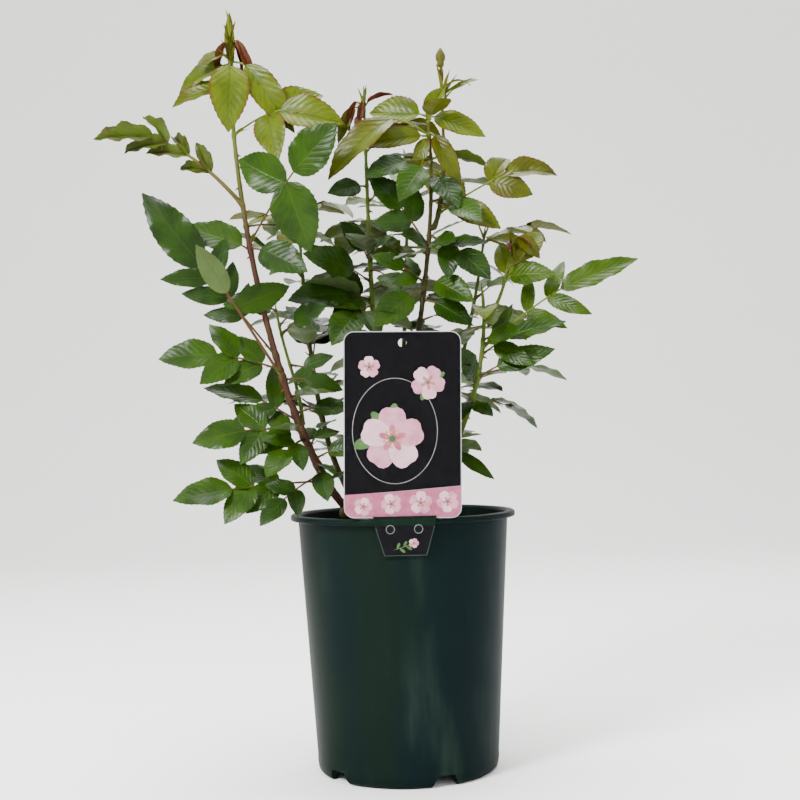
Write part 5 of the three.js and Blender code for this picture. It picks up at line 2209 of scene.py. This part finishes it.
@dataclass
class Studio:
    """The pale floor, the soft lights and the camera of the photograph, in metres."""

    # Name, place, size and power of each light.
    LAMPS = (
        ("key", (-1.1, -1.3, 1.5), 0.5, 88),
        ("fill", (0.7, -1.6, 1.0), 1.2, 9),
        ("top", (0.0, 0.3, 1.9), 1.0, 54),
        ("rear", (0.3, 1.4, 1.7), 1.2, 12),
    )

    camera_place: Place = (0.0, -1.100, 0.287)
    lens: float = 58.1
    sensor: float = 36.0
    pitch: float = 1.18
    roll: float = -1.4
    floor_size: float = 6.0
    floor_colour: str = "f6f6f5"
    aim: Place = (0, 0, 0.3)
    sky: float = 0.75

    def lamp(
        self, name: str, place: Place, size: float, power: float
    ) -> None:
        """Hangs one soft square light that looks at the plant.

        Args:
            name: Its name.
            place: Where it hangs.
            size: How wide it is.
            power: Its power in watts.
        """
        light = bpy.data.lights.new(name, "AREA")
        light.shape = "SQUARE"
        light.size = size
        light.energy = power
        lamp = bpy.data.objects.new(name, light)
        lamp.location = place
        look = Vector(self.aim) - lamp.location
        lamp.rotation_euler = look.to_track_quat("-Z", "Y").to_euler()
        bpy.context.collection.objects.link(lamp)

    def floor(self) -> None:
        """Lays the floor and bends its far edge up into a backdrop."""
        deselect()
        bpy.ops.mesh.primitive_plane_add(size=self.floor_size, location=(0, 0, 0))
        floor = bpy.context.object
        floor.name = "floor"
        for edge in floor.data.edges:
            edge.select = all(floor.data.vertices[v].co.y > 0 for v in edge.vertices)
        for vertex in floor.data.vertices:
            vertex.select = vertex.co.y > 0
        bpy.ops.object.mode_set(mode="EDIT")
        rise = (0, 0, self.floor_size / 2)
        bpy.ops.mesh.extrude_region_move(TRANSFORM_OT_translate={"value": rise})
        bpy.ops.object.mode_set(mode="OBJECT")
        bend = floor.modifiers.new("bend", "BEVEL")
        bend.width = self.floor_size / 5
        bend.segments = 12
        bpy.ops.object.modifier_apply(modifier="bend")
        bpy.ops.object.shade_smooth_by_angle(angle=radians(40))
        recipe = Recipe("pale_floor", self.floor_colour, 0.9)
        recipe.shader.inputs["Base Color"].default_value = linear(self.floor_colour, 1)
        floor.data.materials.append(recipe.material)

    def build(self) -> None:
        """Sets up the floor, the lights, the sky and the camera."""
        self.floor()
        for lamp in self.LAMPS:
            self.lamp(*lamp)
        world = bpy.data.worlds.new("studio")
        world.use_nodes = True
        background = world.node_tree.nodes["Background"]
        background.inputs["Color"].default_value = (1, 1, 1, 1)
        background.inputs["Strength"].default_value = self.sky
        bpy.context.scene.world = world
        camera = bpy.data.objects.new("camera", bpy.data.cameras.new("camera"))
        camera.data.lens = self.lens
        camera.data.sensor_width = self.sensor
        tilt = Matrix.Rotation(radians(90 + self.pitch), 4, "X")
        turn = Matrix.Rotation(radians(self.roll), 4, "Z")
        camera.matrix_world = Matrix.Translation(self.camera_place) @ tilt @ turn
        bpy.context.collection.objects.link(camera)
        bpy.context.scene.camera = camera


def main() -> None:
    """Builds the dressed part and its studio around the frame."""
    logging.basicConfig(level=logging.INFO, format="%(name)s: %(message)s")
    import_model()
    Pot().build()
    Compost().build()
    bush = Bush()
    bush.rootstock()
    bush.build()
    Label().build()
    Studio().build()


if __name__ == "__main__":
    main()
